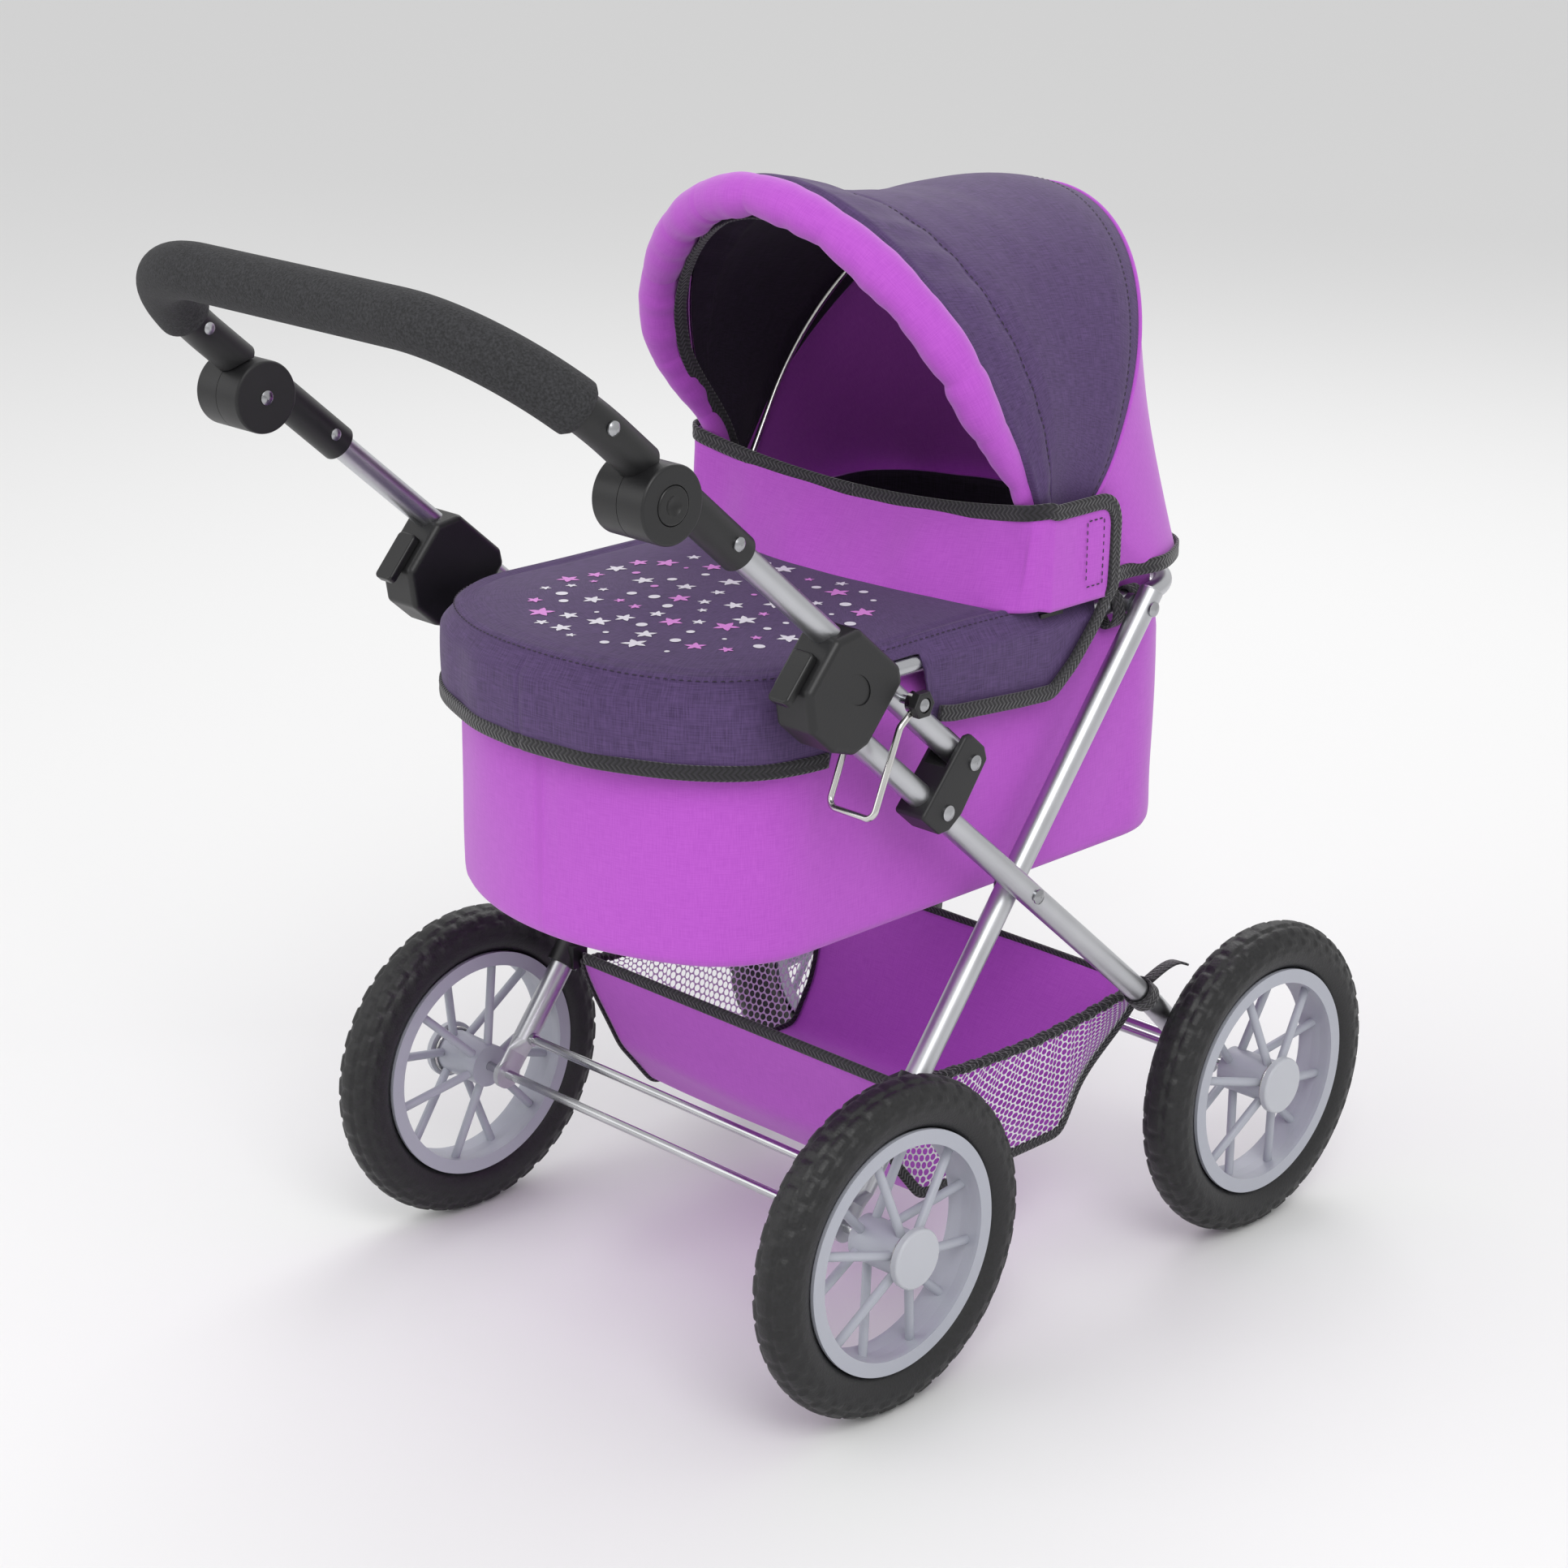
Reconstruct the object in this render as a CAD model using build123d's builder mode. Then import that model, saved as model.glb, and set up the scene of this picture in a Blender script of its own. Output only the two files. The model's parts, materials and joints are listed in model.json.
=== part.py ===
"""Doll pram: folding X-frame chassis, carrycot with a two-bow hood, basket and adjustable handle.

Millimetres, +Z up, +X the way the pram is pushed, +Y its left side. The origin is on the floor,
midway between the two sides and midway between the back of the grip and the front of the tyres.
"""
import os
from math import asin, copysign, cos, degrees, hypot, radians, sin, sqrt

from build123d import *

os.makedirs("parts", exist_ok=True)

# Overall layout, seen from the side, with the rear axle at x = 0
wheel_base = 345.0
tyre_radius = 103.3
leg_angle = 52.1  # rear leg, above horizontal
frame_angle = 40.9  # lower frame tube and handle tube
pivot_reach = 223.3  # rear axle to the scissor pivot
rim_height = 429.0  # cot rim above the floor
tube_spacing = 33.0  # frame tube axis to handle tube axis
link_reach = 114.0  # scissor pivot to the link rivets
joint_reach = 309.0  # link rivet to the handle's rotary joint
handle_reach = 434.0  # link rivet to the crossbar of the handle

# Layout across the pram
leg_y = 150.8
frame_y = 166.8
wheel_y = 186.35

# Tubes, rods and fasteners
tube_radius = 7.5
tube_wall = 1.2
rod_radius = 3.0
rivet_radius = 2.5
rivet_head = 4.6
running_gap = 0.08  # radial clearance of a pin that turns
side_gap = 0.35  # clearance between faces that slide past each other
flat_half = 2.6  # half thickness of a flattened tube end
flat_width = 9.5  # half width of a flattened tube end

# Wheels
rim_radius = 75.0
rim_floor = 71.0
rim_inner = 67.0
rim_width = 26.0
tyre_section = 16.1
hub_radius = 14.0
hub_inner_y = 167.4
hub_outer_y = 205.2
spoke_radius = 2.8
spoke_pairs = 6
cap_radius = 18.5
cap_depth = 4.8

# Fold lock
box_length = 62.0
box_half_depth = 14.5
box_start = 203.0
frame_end = 208.5  # upper end of the frame tube, along from the scissor pivot
slide_width = 15.0
bail_wire = 2.0  # radius
bail_half = 17.0  # half distance between the two legs of a bail
bail_length = 69.0
bail_lean = 13.0  # degrees from square to the tubes

# Handle joints
disc_radius = 21.0
disc_drop = 11.6  # disc centre below the tube axis
disc_half = 19.0
sleeve_radius = 11.0
sleeve_reach = 74.0  # end of a lower sleeve from the disc centre
button_radius = 10.4
sleeve_bolt = 61.0  # lower sleeve bolt from the disc centre
grip_radius = 15.5
handle_bend = 85.0

# Carrycot
rim_tube_radius = 6.0
cot_half = 131.0
rim_half = 133.0
cot_back = -11.0  # where the foot end starts to curve
cot_front = 272.0  # where the head end starts to curve
foot_corner = 75.0
head_corner = 60.0
corner_turn = 60.0
cot_floor = 270.0
cot_top = 412.0
cloth = 2.5
board_thickness = 3.0
cover_top = 444.0
cover_hem = 388.0
cover_half = 142.2
cover_front = 150.0
flap_front = 156.0
flap_top = 495.0
flap_back = 226.0

# Hood, about its hinge line
hood_x = 184.0
hood_z = 459.0
hood_base = 64.0  # straight part of each shell's side before it arches over
shell = 2.2
front_shell = (146.0, 243.4)  # half width and top radius of the front gore
rear_shell = (143.3, 240.6)
back_shell = (140.6, 237.8)
roll_rise = 12.0
roll_swell = 0.7
front_bow = (134.0, 235.5)
rear_bow = (128.5, 225.5)
front_bow_angle = 111.5
rear_bow_angle = 62.0
roll_angles = (110.5, 118.5)
front_gore_angles = (97.0, 113.0)
rear_gore_angles = (55.0, 99.0)
bow_wire = 2.0
pin_radius = 2.2

# Basket
basket_top = 166.0
basket_floor = 84.0
basket_back = 60.0
basket_front = 285.0
basket_slope = 38.0
basket_half = 137.0
basket_taper = 17.0

rear_axle_z = tyre_radius
lean = radians(frame_angle)
rise = radians(leg_angle)
axle_half = hub_outer_y + 1.4
sides = {"left": 1, "right": -1}
back_end = (
    pivot_reach * cos(rise)
    - (link_reach + handle_reach) * cos(lean)
    + tube_spacing * sin(lean)
    - grip_radius
)
mid_x = (wheel_base + tyre_radius + back_end) / 2


def along(s, n, y=None):
    """Point s up the frame tube from the scissor pivot and n square to it, in the side view."""
    x = pivot_reach * cos(rise) - s * cos(lean) + n * sin(lean) - mid_x
    z = tyre_radius + pivot_reach * sin(rise) + s * sin(lean) + n * cos(lean)
    return (x, z) if y is None else (x, y, z)


def up_leg(r, y=None):
    """Point r up the leg tube from the rear axle."""
    x = r * cos(rise) - mid_x
    z = tyre_radius + r * sin(rise)
    return (x, z) if y is None else (x, y, z)


def side(y):
    """Side-view plane at a given y; its normal points to -Y."""
    return Plane.XZ.offset(-y)


def facing(centre, z_dir, x_dir=(0, 1, 0)):
    """Plane at a point, square to a direction."""
    return Plane(origin=centre, x_dir=x_dir, z_dir=z_dir)


def bar(start, end, radius, mode=Mode.ADD):
    """Round bar between two points, added to the part being built."""
    run = Vector(*end) - Vector(*start)
    with Locations(Plane(origin=start, z_dir=run)):
        Cylinder(radius, run.length, align=(Align.CENTER, Align.CENTER, Align.MIN), mode=mode)


def cross_bar(point, y0, y1, radius, mode=Mode.ADD):
    """Round bar along Y through a side-view point."""
    bar((point[0], min(y0, y1), point[1]), (point[0], max(y0, y1), point[1]), radius, mode)


def domed_head(point, y, outward, radius, height):
    """Domed rivet or bolt head standing on the face at y."""
    with Locations(Plane(origin=(point[0], y, point[1]), z_dir=(0, outward, 0))):
        Cylinder(radius, 0.4 * height, align=(Align.CENTER, Align.CENTER, Align.MIN))
    cap = (radius**2 + (0.6 * height) ** 2) / (1.2 * height)
    with Locations(Plane(origin=(point[0], y + outward * (height - cap), point[1]), z_dir=(0, outward, 0))):
        Sphere(cap, arc_size1=degrees(asin((cap - 0.6 * height) / cap)), align=None)


def rivet(point, y_inner, y_outer, sign, shank=rivet_radius, head=rivet_head, height=2.6):
    """Rivet along Y with a domed head on its outer end and a flatter one on its inner end."""
    cross_bar(point, sign * y_inner, sign * y_outer, shank)
    domed_head(point, sign * y_outer, sign, head, height)
    domed_head(point, sign * y_inner, -sign, head * 0.9, height * 0.7)


def save(piece, name):
    """Label a finished piece and write it."""
    piece.part.label = name
    export_step(piece.part, f"parts/{name}.step")


frame_dir = Vector(-cos(lean), 0, sin(lean))
leg_dir = Vector(cos(rise), 0, sin(rise))
across_dir = Vector(sin(lean), 0, cos(lean))

pivot = along(0, 0)
rear_axle = (-mid_x, rear_axle_z)
front_axle = (wheel_base - mid_x, rear_axle_z)
lower_link = along(link_reach, 0)
upper_link = along(link_reach, tube_spacing)
rim_bolt_reach = (rim_height - pivot[1] - tube_spacing * cos(lean)) / sin(lean)
rim_bolt = along(rim_bolt_reach, tube_spacing)
rim_rivet_reach = (rim_height - rear_axle_z) / sin(rise)
rim_rivet = up_leg(rim_rivet_reach)
axle_reach = (front_axle[0] - pivot[0]) * cos(lean) + (pivot[1] - rear_axle_z) * sin(lean)
axle_offset = (front_axle[0] - pivot[0]) * sin(lean) - (pivot[1] - rear_axle_z) * cos(lean)
joint_s = link_reach + joint_reach
joint_n = tube_spacing - disc_drop
disc = along(joint_s, joint_n)
rod_rise = 27.0  # cross rods above their axles, along the tubes

# ---------------------------------------------------------------- chassis tubes

jog_start = 109.0  # the frame tube turns inwards this far from the front axle
jog_end = 36.0
neck = 24.0
flat_start = 15.0

for name, sign in sides.items():
    top = along(frame_end, 0, sign * frame_y)
    bend_in = along(-axle_reach + jog_start, 0, sign * frame_y)
    bend_out = along(-axle_reach + jog_end, axle_offset * 0.6, sign * leg_y)
    neck_point = along(-axle_reach + neck, axle_offset, sign * leg_y)
    flat_point = along(-axle_reach + flat_start, axle_offset, sign * leg_y)
    with BuildPart() as frame_tube:
        with BuildLine() as run:
            FilletPolyline(top, bend_in, bend_out, neck_point, radius=28)
        with BuildSketch(facing(run.line @ 0, run.line % 0)):
            Circle(tube_radius)
            Circle(tube_radius - tube_wall, mode=Mode.SUBTRACT)
        sweep(path=run.line)
        with BuildSketch(facing(neck_point, -frame_dir)):
            Circle(tube_radius)
        with BuildSketch(facing(flat_point, -frame_dir)):
            Ellipse(flat_half, flat_width)
        loft()
        with BuildSketch(facing(flat_point, -frame_dir)):
            Ellipse(flat_half, flat_width)
        extrude(amount=flat_start)
        cross_bar(front_axle, sign * (leg_y - flat_half * 0.8), sign * (leg_y + flat_half * 0.8), flat_width)
        cross_bar(front_axle, sign * (leg_y - 20), sign * (leg_y + 20), rod_radius, Mode.SUBTRACT)
        for point in (pivot, lower_link):
            cross_bar(point, sign * (frame_y - 20), sign * (frame_y + 20), rivet_radius, Mode.SUBTRACT)
    save(frame_tube, f"frame_tube_{name}")

leg_over = 12.0  # leg tube beyond the rim rivet

for name, sign in sides.items():
    y = sign * leg_y
    with BuildPart() as leg_tube:
        with BuildSketch(facing(up_leg(neck, y), leg_dir)):
            Circle(tube_radius)
            Circle(tube_radius - tube_wall, mode=Mode.SUBTRACT)
        extrude(amount=rim_rivet_reach + leg_over - neck)
        with BuildSketch(facing(up_leg(neck, y), leg_dir)):
            Circle(tube_radius)
        with BuildSketch(facing(up_leg(flat_start, y), leg_dir)):
            Ellipse(flat_half, flat_width)
        loft()
        with BuildSketch(facing(up_leg(flat_start, y), leg_dir)):
            Ellipse(flat_half, flat_width)
        extrude(amount=-flat_start)
        cross_bar(rear_axle, sign * (leg_y - flat_half * 0.8), sign * (leg_y + flat_half * 0.8), flat_width)
        bar(up_leg(rim_rivet_reach + leg_over - 2, y), up_leg(rim_rivet_reach + leg_over, y), tube_radius)
        fillet(leg_tube.edges().sort_by(Axis((0, 0, 0), leg_dir))[-1], 1.6)
        cross_bar(rear_axle, sign * (leg_y - 20), sign * (leg_y + 20), rod_radius, Mode.SUBTRACT)
        cross_bar(pivot, sign * (leg_y - 20), sign * (leg_y + 20), rivet_radius + running_gap, Mode.SUBTRACT)
        cross_bar(rim_rivet, sign * (leg_y - 20), sign * (leg_y + 20), rivet_radius, Mode.SUBTRACT)
    save(leg_tube, f"leg_tube_{name}")

handle_start = link_reach - 10.0
handle_end = joint_s - 24.0

for name, sign in sides.items():
    y = sign * frame_y
    with BuildPart() as handle_tube:
        with BuildSketch(facing(along(handle_start, tube_spacing, y), frame_dir)):
            Circle(tube_radius)
            Circle(tube_radius - tube_wall, mode=Mode.SUBTRACT)
        extrude(amount=handle_end - handle_start)
        cross_bar(upper_link, y - 20, y + 20, rivet_radius + running_gap, Mode.SUBTRACT)
        cross_bar(rim_bolt, y - 20, y + 20, rivet_radius, Mode.SUBTRACT)
        cross_bar(along(joint_s - sleeve_bolt, tube_spacing), y - 20, y + 20, rivet_radius, Mode.SUBTRACT)
    save(handle_tube, f"handle_tube_{name}")

# ---------------------------------------------------------------- axles and rods

front_rod = along(-axle_reach + rod_rise, axle_offset)
rear_rod = up_leg(rod_rise)
rod_half = leg_y - tube_radius

for name, point in {"front_axle": front_axle, "rear_axle": rear_axle}.items():
    with BuildPart() as axle:
        cross_bar(point, -axle_half, axle_half, rod_radius)
        for sign in sides.values():
            y0 = sign * (axle_half - 1.2)
            with Locations(Plane(origin=(point[0], y0, point[1]), z_dir=(0, 1, 0))):
                Torus(rod_radius + 0.35, 0.6, mode=Mode.SUBTRACT)
    save(axle, name)

for name, point in {"front_cross_rod": front_rod, "rear_cross_rod": rear_rod}.items():
    with BuildPart() as rod:
        cross_bar(point, -rod_half, rod_half, rod_radius)
        for sign in sides.values():
            cross_bar(point, sign * (rod_half - 2.5), sign * rod_half, rod_radius + 1.2)
        chamfer(rod.edges().filter_by(GeomType.CIRCLE).group_by(SortBy.RADIUS)[-1].group_by(Axis.Y)[1], 0.8)
    save(rod, name)

clip_wire = 0.9
clip_y = hub_outer_y - 2.0

for name, point in {"front_axle_clips": front_axle, "rear_axle_clips": rear_axle}.items():
    with BuildPart() as clips:
        for sign in sides.values():
            ring = hub_radius + clip_wire + side_gap
            with Locations(Plane(origin=(point[0], sign * clip_y, point[1]), z_dir=(0, 1, 0))):
                Torus(ring, clip_wire)
            tail = (point[0] + ring * 0.6, sign * clip_y, point[1] - ring * 0.8)
            bar(tail, (tail[0] + 4.8, sign * clip_y, tail[2] - 6.4), clip_wire)
    save(clips, name)

# ---------------------------------------------------------------- wheels

wheels = {
    "front_left": (front_axle, 1),
    "front_right": (front_axle, -1),
    "rear_left": (rear_axle, 1),
    "rear_right": (rear_axle, -1),
}
ring_radius = tyre_radius - tyre_section
flange = 2.4
hub_end_spread = 5.5  # spokes leave the hub this far inside its ends

for name, (point, sign) in wheels.items():
    wheel_centre = (point[0], sign * wheel_y, point[1])
    wheel_axis = Axis(wheel_centre, (0, 1, 0))
    section = Plane(origin=wheel_centre, x_dir=(0, 1, 0), z_dir=(-1, 0, 0))
    with BuildPart() as tyre:
        with BuildSketch(section):
            with Locations((0, ring_radius)):
                Circle(tyre_section)
            Rectangle(80, 2 * (rim_floor + 0.05), mode=Mode.SUBTRACT)
        revolve(axis=wheel_axis)
    save(tyre, f"tyre_{name}")

    with BuildPart() as wheel:
        with BuildSketch(section):
            with BuildLine():
                half = rim_width / 2
                Polyline(
                    (-half, rim_radius),
                    (-half, rim_inner - 1.0),
                    (-half + flange, rim_inner - 1.0),
                    (-3.5, rim_inner),
                    (3.5, rim_inner),
                    (half - flange, rim_inner - 1.0),
                    (half, rim_inner - 1.0),
                    (half, rim_radius),
                    (half - flange, rim_radius),
                    (half - flange, rim_floor),
                    (-half + flange, rim_floor),
                    (-half + flange, rim_radius),
                    close=True,
                )
            make_face()
        revolve(axis=wheel_axis)
        cross_bar(point, sign * hub_inner_y, sign * hub_outer_y, hub_radius)
        for k in range(2 * spoke_pairs):
            turn = radians(180 / spoke_pairs * k + 15)
            hub_y = hub_outer_y - hub_end_spread if k % 2 else hub_inner_y + hub_end_spread
            reach = (hub_radius - 2, rim_inner + 1.5)
            start = (point[0] + reach[0] * cos(turn), sign * hub_y, point[1] + reach[0] * sin(turn))
            rim_y = wheel_y + (2.2 if k % 2 else -2.2)
            end = (point[0] + reach[1] * cos(turn), sign * rim_y, point[1] + reach[1] * sin(turn))
            bar(start, end, spoke_radius)
        cross_bar(point, sign * (hub_inner_y - 5), sign * (hub_outer_y + 5), rod_radius + running_gap, Mode.SUBTRACT)
    save(wheel, f"wheel_{name}")

    cap_base = hub_outer_y + 0.1
    with BuildPart() as hub_cap:
        cross_bar(point, sign * cap_base, sign * (cap_base + cap_depth), cap_radius)
        fillet(hub_cap.edges().group_by(Axis.Y)[-1 if sign > 0 else 0], 1.8)
        cross_bar(point, sign * cap_base, sign * (cap_base + 2.6), 7.0, Mode.SUBTRACT)
    save(hub_cap, f"hub_cap_{name}")

# ---------------------------------------------------------------- link brackets and frame rivets

bracket_half = 11.2
bracket_points = ((131, -13), (131, 41), (127, 44.5), (112, 44.5), (105, 40), (102, 5), (105, -7), (111, -13))
tail_clear = hypot(link_reach - handle_start, tube_radius) + 0.8

with BuildPart() as link_brackets:
    for sign in sides.values():
        with BuildSketch(side(sign * frame_y)):
            with BuildLine():
                Polyline(*[along(s, n) for s, n in bracket_points], close=True)
            make_face()
            fillet(vertices(), 2.5)
        extrude(amount=bracket_half, both=True)
    fillet(link_brackets.edges().filter_by(Axis.Y, reverse=True), 1.8)
    for sign in sides.values():
        y = sign * frame_y
        bar(along(95, 0, y), along(140, 0, y), tube_radius, Mode.SUBTRACT)
        cross_bar(lower_link, y - 15, y + 15, rivet_radius, Mode.SUBTRACT)
        cross_bar(upper_link, y - 15, y + 15, rivet_radius, Mode.SUBTRACT)
        with BuildSketch(side(y)):
            with BuildLine():
                Polyline(
                    along(60, tube_spacing - tail_clear),
                    along(160, tube_spacing - tail_clear),
                    along(160, 60),
                    along(60, 60),
                    close=True,
                )
            make_face()
        extrude(amount=tube_radius + side_gap, both=True, mode=Mode.SUBTRACT)
save(link_brackets, "link_brackets")

with BuildPart() as frame_rivets:
    for sign in sides.values():
        rivet(pivot, leg_y - tube_radius, frame_y + tube_radius, sign)
        for point in (lower_link, upper_link):
            rivet(point, frame_y - bracket_half, frame_y + bracket_half, sign)
save(frame_rivets, "frame_rivets")

# ---------------------------------------------------------------- fold lock

box_points = ((0, -2), (0, 38), (8, 44), (50, 44), (62, 30), (62, -4), (44, -19), (22, -19), (6, -12))
slide_low = -14.0
slide_high = 18.0
slot_depth = 22.0

for name, sign in sides.items():
    y = sign * frame_y
    with BuildPart() as latch_box:
        with BuildSketch(side(y)):
            with BuildLine():
                Polyline(*[along(box_start + s, n) for s, n in box_points], close=True)
            make_face()
            fillet(vertices(), 5)
        extrude(amount=box_half_depth, both=True)
        fillet(latch_box.edges().filter_by(Axis.Y, reverse=True), 4.0)
        bar(along(150, tube_spacing, y), along(330, tube_spacing, y), tube_radius, Mode.SUBTRACT)
        with BuildSketch(side(y)):
            with BuildLine():
                Polyline(
                    along(150, -60),
                    along(frame_end + 1.5, -60),
                    along(frame_end + 1.5, tube_radius + 2 * side_gap),
                    along(150, tube_radius + 2 * side_gap),
                    close=True,
                )
            make_face()
        extrude(amount=tube_radius + 2 * side_gap, both=True, mode=Mode.SUBTRACT)
        with BuildSketch(facing(along(box_start + box_length, 6, y), -frame_dir)):
            Rectangle(slide_width / 2 + 2 * side_gap, 18 + 2 * side_gap)
        extrude(amount=slot_depth, mode=Mode.SUBTRACT)
        with BuildSketch(side(sign * (frame_y + box_half_depth))):
            with Locations(Location((*along(box_start + 30, 17), 0))):
                Ellipse(11, 8, rotation=-frame_angle)
        extrude(amount=sign * 0.7, mode=Mode.SUBTRACT)
    save(latch_box, f"latch_box_{name}")

    with BuildPart() as latch_slide:
        with BuildSketch(facing(along(box_start + box_length + 0.4, 2, y), frame_dir)):
            RectangleRounded(slide_width, slide_high - slide_low, 3)
        extrude(amount=5)
        fillet(latch_slide.faces().sort_by(Axis((0, 0, 0), frame_dir))[-1].edges(), 1.6)
        with BuildSketch(facing(along(box_start + box_length + 0.4, 6, y), -frame_dir)):
            Rectangle(slide_width / 2, 18)
        extrude(amount=slot_depth - 2)
    save(latch_slide, f"latch_slide_{name}")

cap_inner = frame_y + bail_half + bail_wire + side_gap
cap_outer = cap_inner + 5.5
head_seat = cap_inner + 4.1

with BuildPart() as pivot_caps:
    for sign in sides.values():
        with BuildSketch(side(sign * cap_inner)):
            with Locations(Location((*rim_bolt, 0))):
                RegularPolygon(8.2, 6)
        extrude(amount=-sign * (cap_outer - cap_inner))
        fillet(pivot_caps.edges().group_by(Axis.Y)[-1 if sign > 0 else 0], 1.2)
        cross_bar(rim_bolt, sign * head_seat, sign * (cap_outer + 1), 4.4, Mode.SUBTRACT)
        cross_bar(rim_bolt, sign * frame_y, sign * (cap_outer + 1), rivet_radius, Mode.SUBTRACT)
save(pivot_caps, "pivot_caps")

block_inner = rim_half + rim_tube_radius - 8.0
block_outer = frame_y - bail_half - bail_wire - side_gap
bolt_start = block_inner + 9.0

with BuildPart() as pivot_bolts:
    for sign in sides.values():
        cross_bar(rim_bolt, sign * bolt_start, sign * head_seat, rivet_radius)
        domed_head(rim_bolt, sign * head_seat, sign, 3.9, 2.4)
save(pivot_bolts, "pivot_bolts")

with BuildPart() as pivot_blocks:
    for sign in sides.values():
        cross_bar(rim_bolt, sign * block_inner, sign * block_outer, 9.0)
        with Locations((rim_bolt[0], sign * rim_half, rim_bolt[1])):
            Box(22, 2 * rim_tube_radius + 3.5, 2 * rim_tube_radius + 5)
        bar(
            (rim_bolt[0] - 20, sign * rim_half, rim_height),
            (rim_bolt[0] + 20, sign * rim_half, rim_height),
            rim_tube_radius,
            Mode.SUBTRACT,
        )
        cross_bar(rim_bolt, sign * (bolt_start - 0.5), sign * frame_y, rivet_radius + running_gap, Mode.SUBTRACT)
save(pivot_blocks, "pivot_blocks")


def bail_point(distance, shift, y):
    """Point of a bail, a distance from its bolt and shifted sideways, in the leaning frame of the bail."""
    swing = radians(bail_lean)
    s = rim_bolt_reach - distance * sin(swing) + shift * cos(swing)
    n = tube_spacing - distance * cos(swing) - shift * sin(swing)
    return along(s, n, y)


for name, sign in sides.items():
    with BuildPart() as wire_bail:
        leg_out = frame_y + bail_half
        leg_in = frame_y - bail_half
        with BuildLine() as wire:
            FilletPolyline(
                bail_point(5.5, 0, sign * leg_out),
                bail_point(16, 5, sign * leg_out),
                bail_point(bail_length, 0, sign * leg_out),
                bail_point(bail_length, 0, sign * leg_in),
                bail_point(16, 5, sign * leg_in),
                bail_point(5.5, 0, sign * leg_in),
                radius=6,
            )
        with BuildSketch(facing(wire.line @ 0, wire.line % 0)):
            Circle(bail_wire)
        sweep(path=wire.line)
        for y in (leg_out, leg_in):
            cross_bar(rim_bolt, sign * (y - bail_wire), sign * (y + bail_wire), 6.4)
        for y in (leg_out, leg_in):
            clear = rivet_radius + running_gap
            cross_bar(rim_bolt, sign * (y - bail_wire - 1), sign * (y + bail_wire + 1), clear, Mode.SUBTRACT)
    save(wire_bail, f"wire_bail_{name}")

# ---------------------------------------------------------------- handle joints and handlebar

sleeve_start = 15.0  # a sleeve leaves its disc this far from the centre
socket = 24.0  # the tubes stop this far from the centre of the disc
upper_bolt = 52.0
crossbar_s = link_reach + handle_reach
bend_s = crossbar_s - handle_bend
grip_turn = 16.5  # degrees round the bend at which the foam starts
sleeve_turn = 24.0
outer_face = frame_y + disc_half
inner_face = frame_y - disc_half
lower_bolt_point = along(joint_s - sleeve_bolt, tube_spacing)
upper_bolt_point = along(joint_s + upper_bolt, tube_spacing)
bend_shift = handle_bend - sqrt(handle_bend**2 - (joint_s + upper_bolt - bend_s) ** 2)
handle_plane = Plane(origin=along(0, tube_spacing, 0), x_dir=frame_dir, z_dir=-across_dir)

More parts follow.
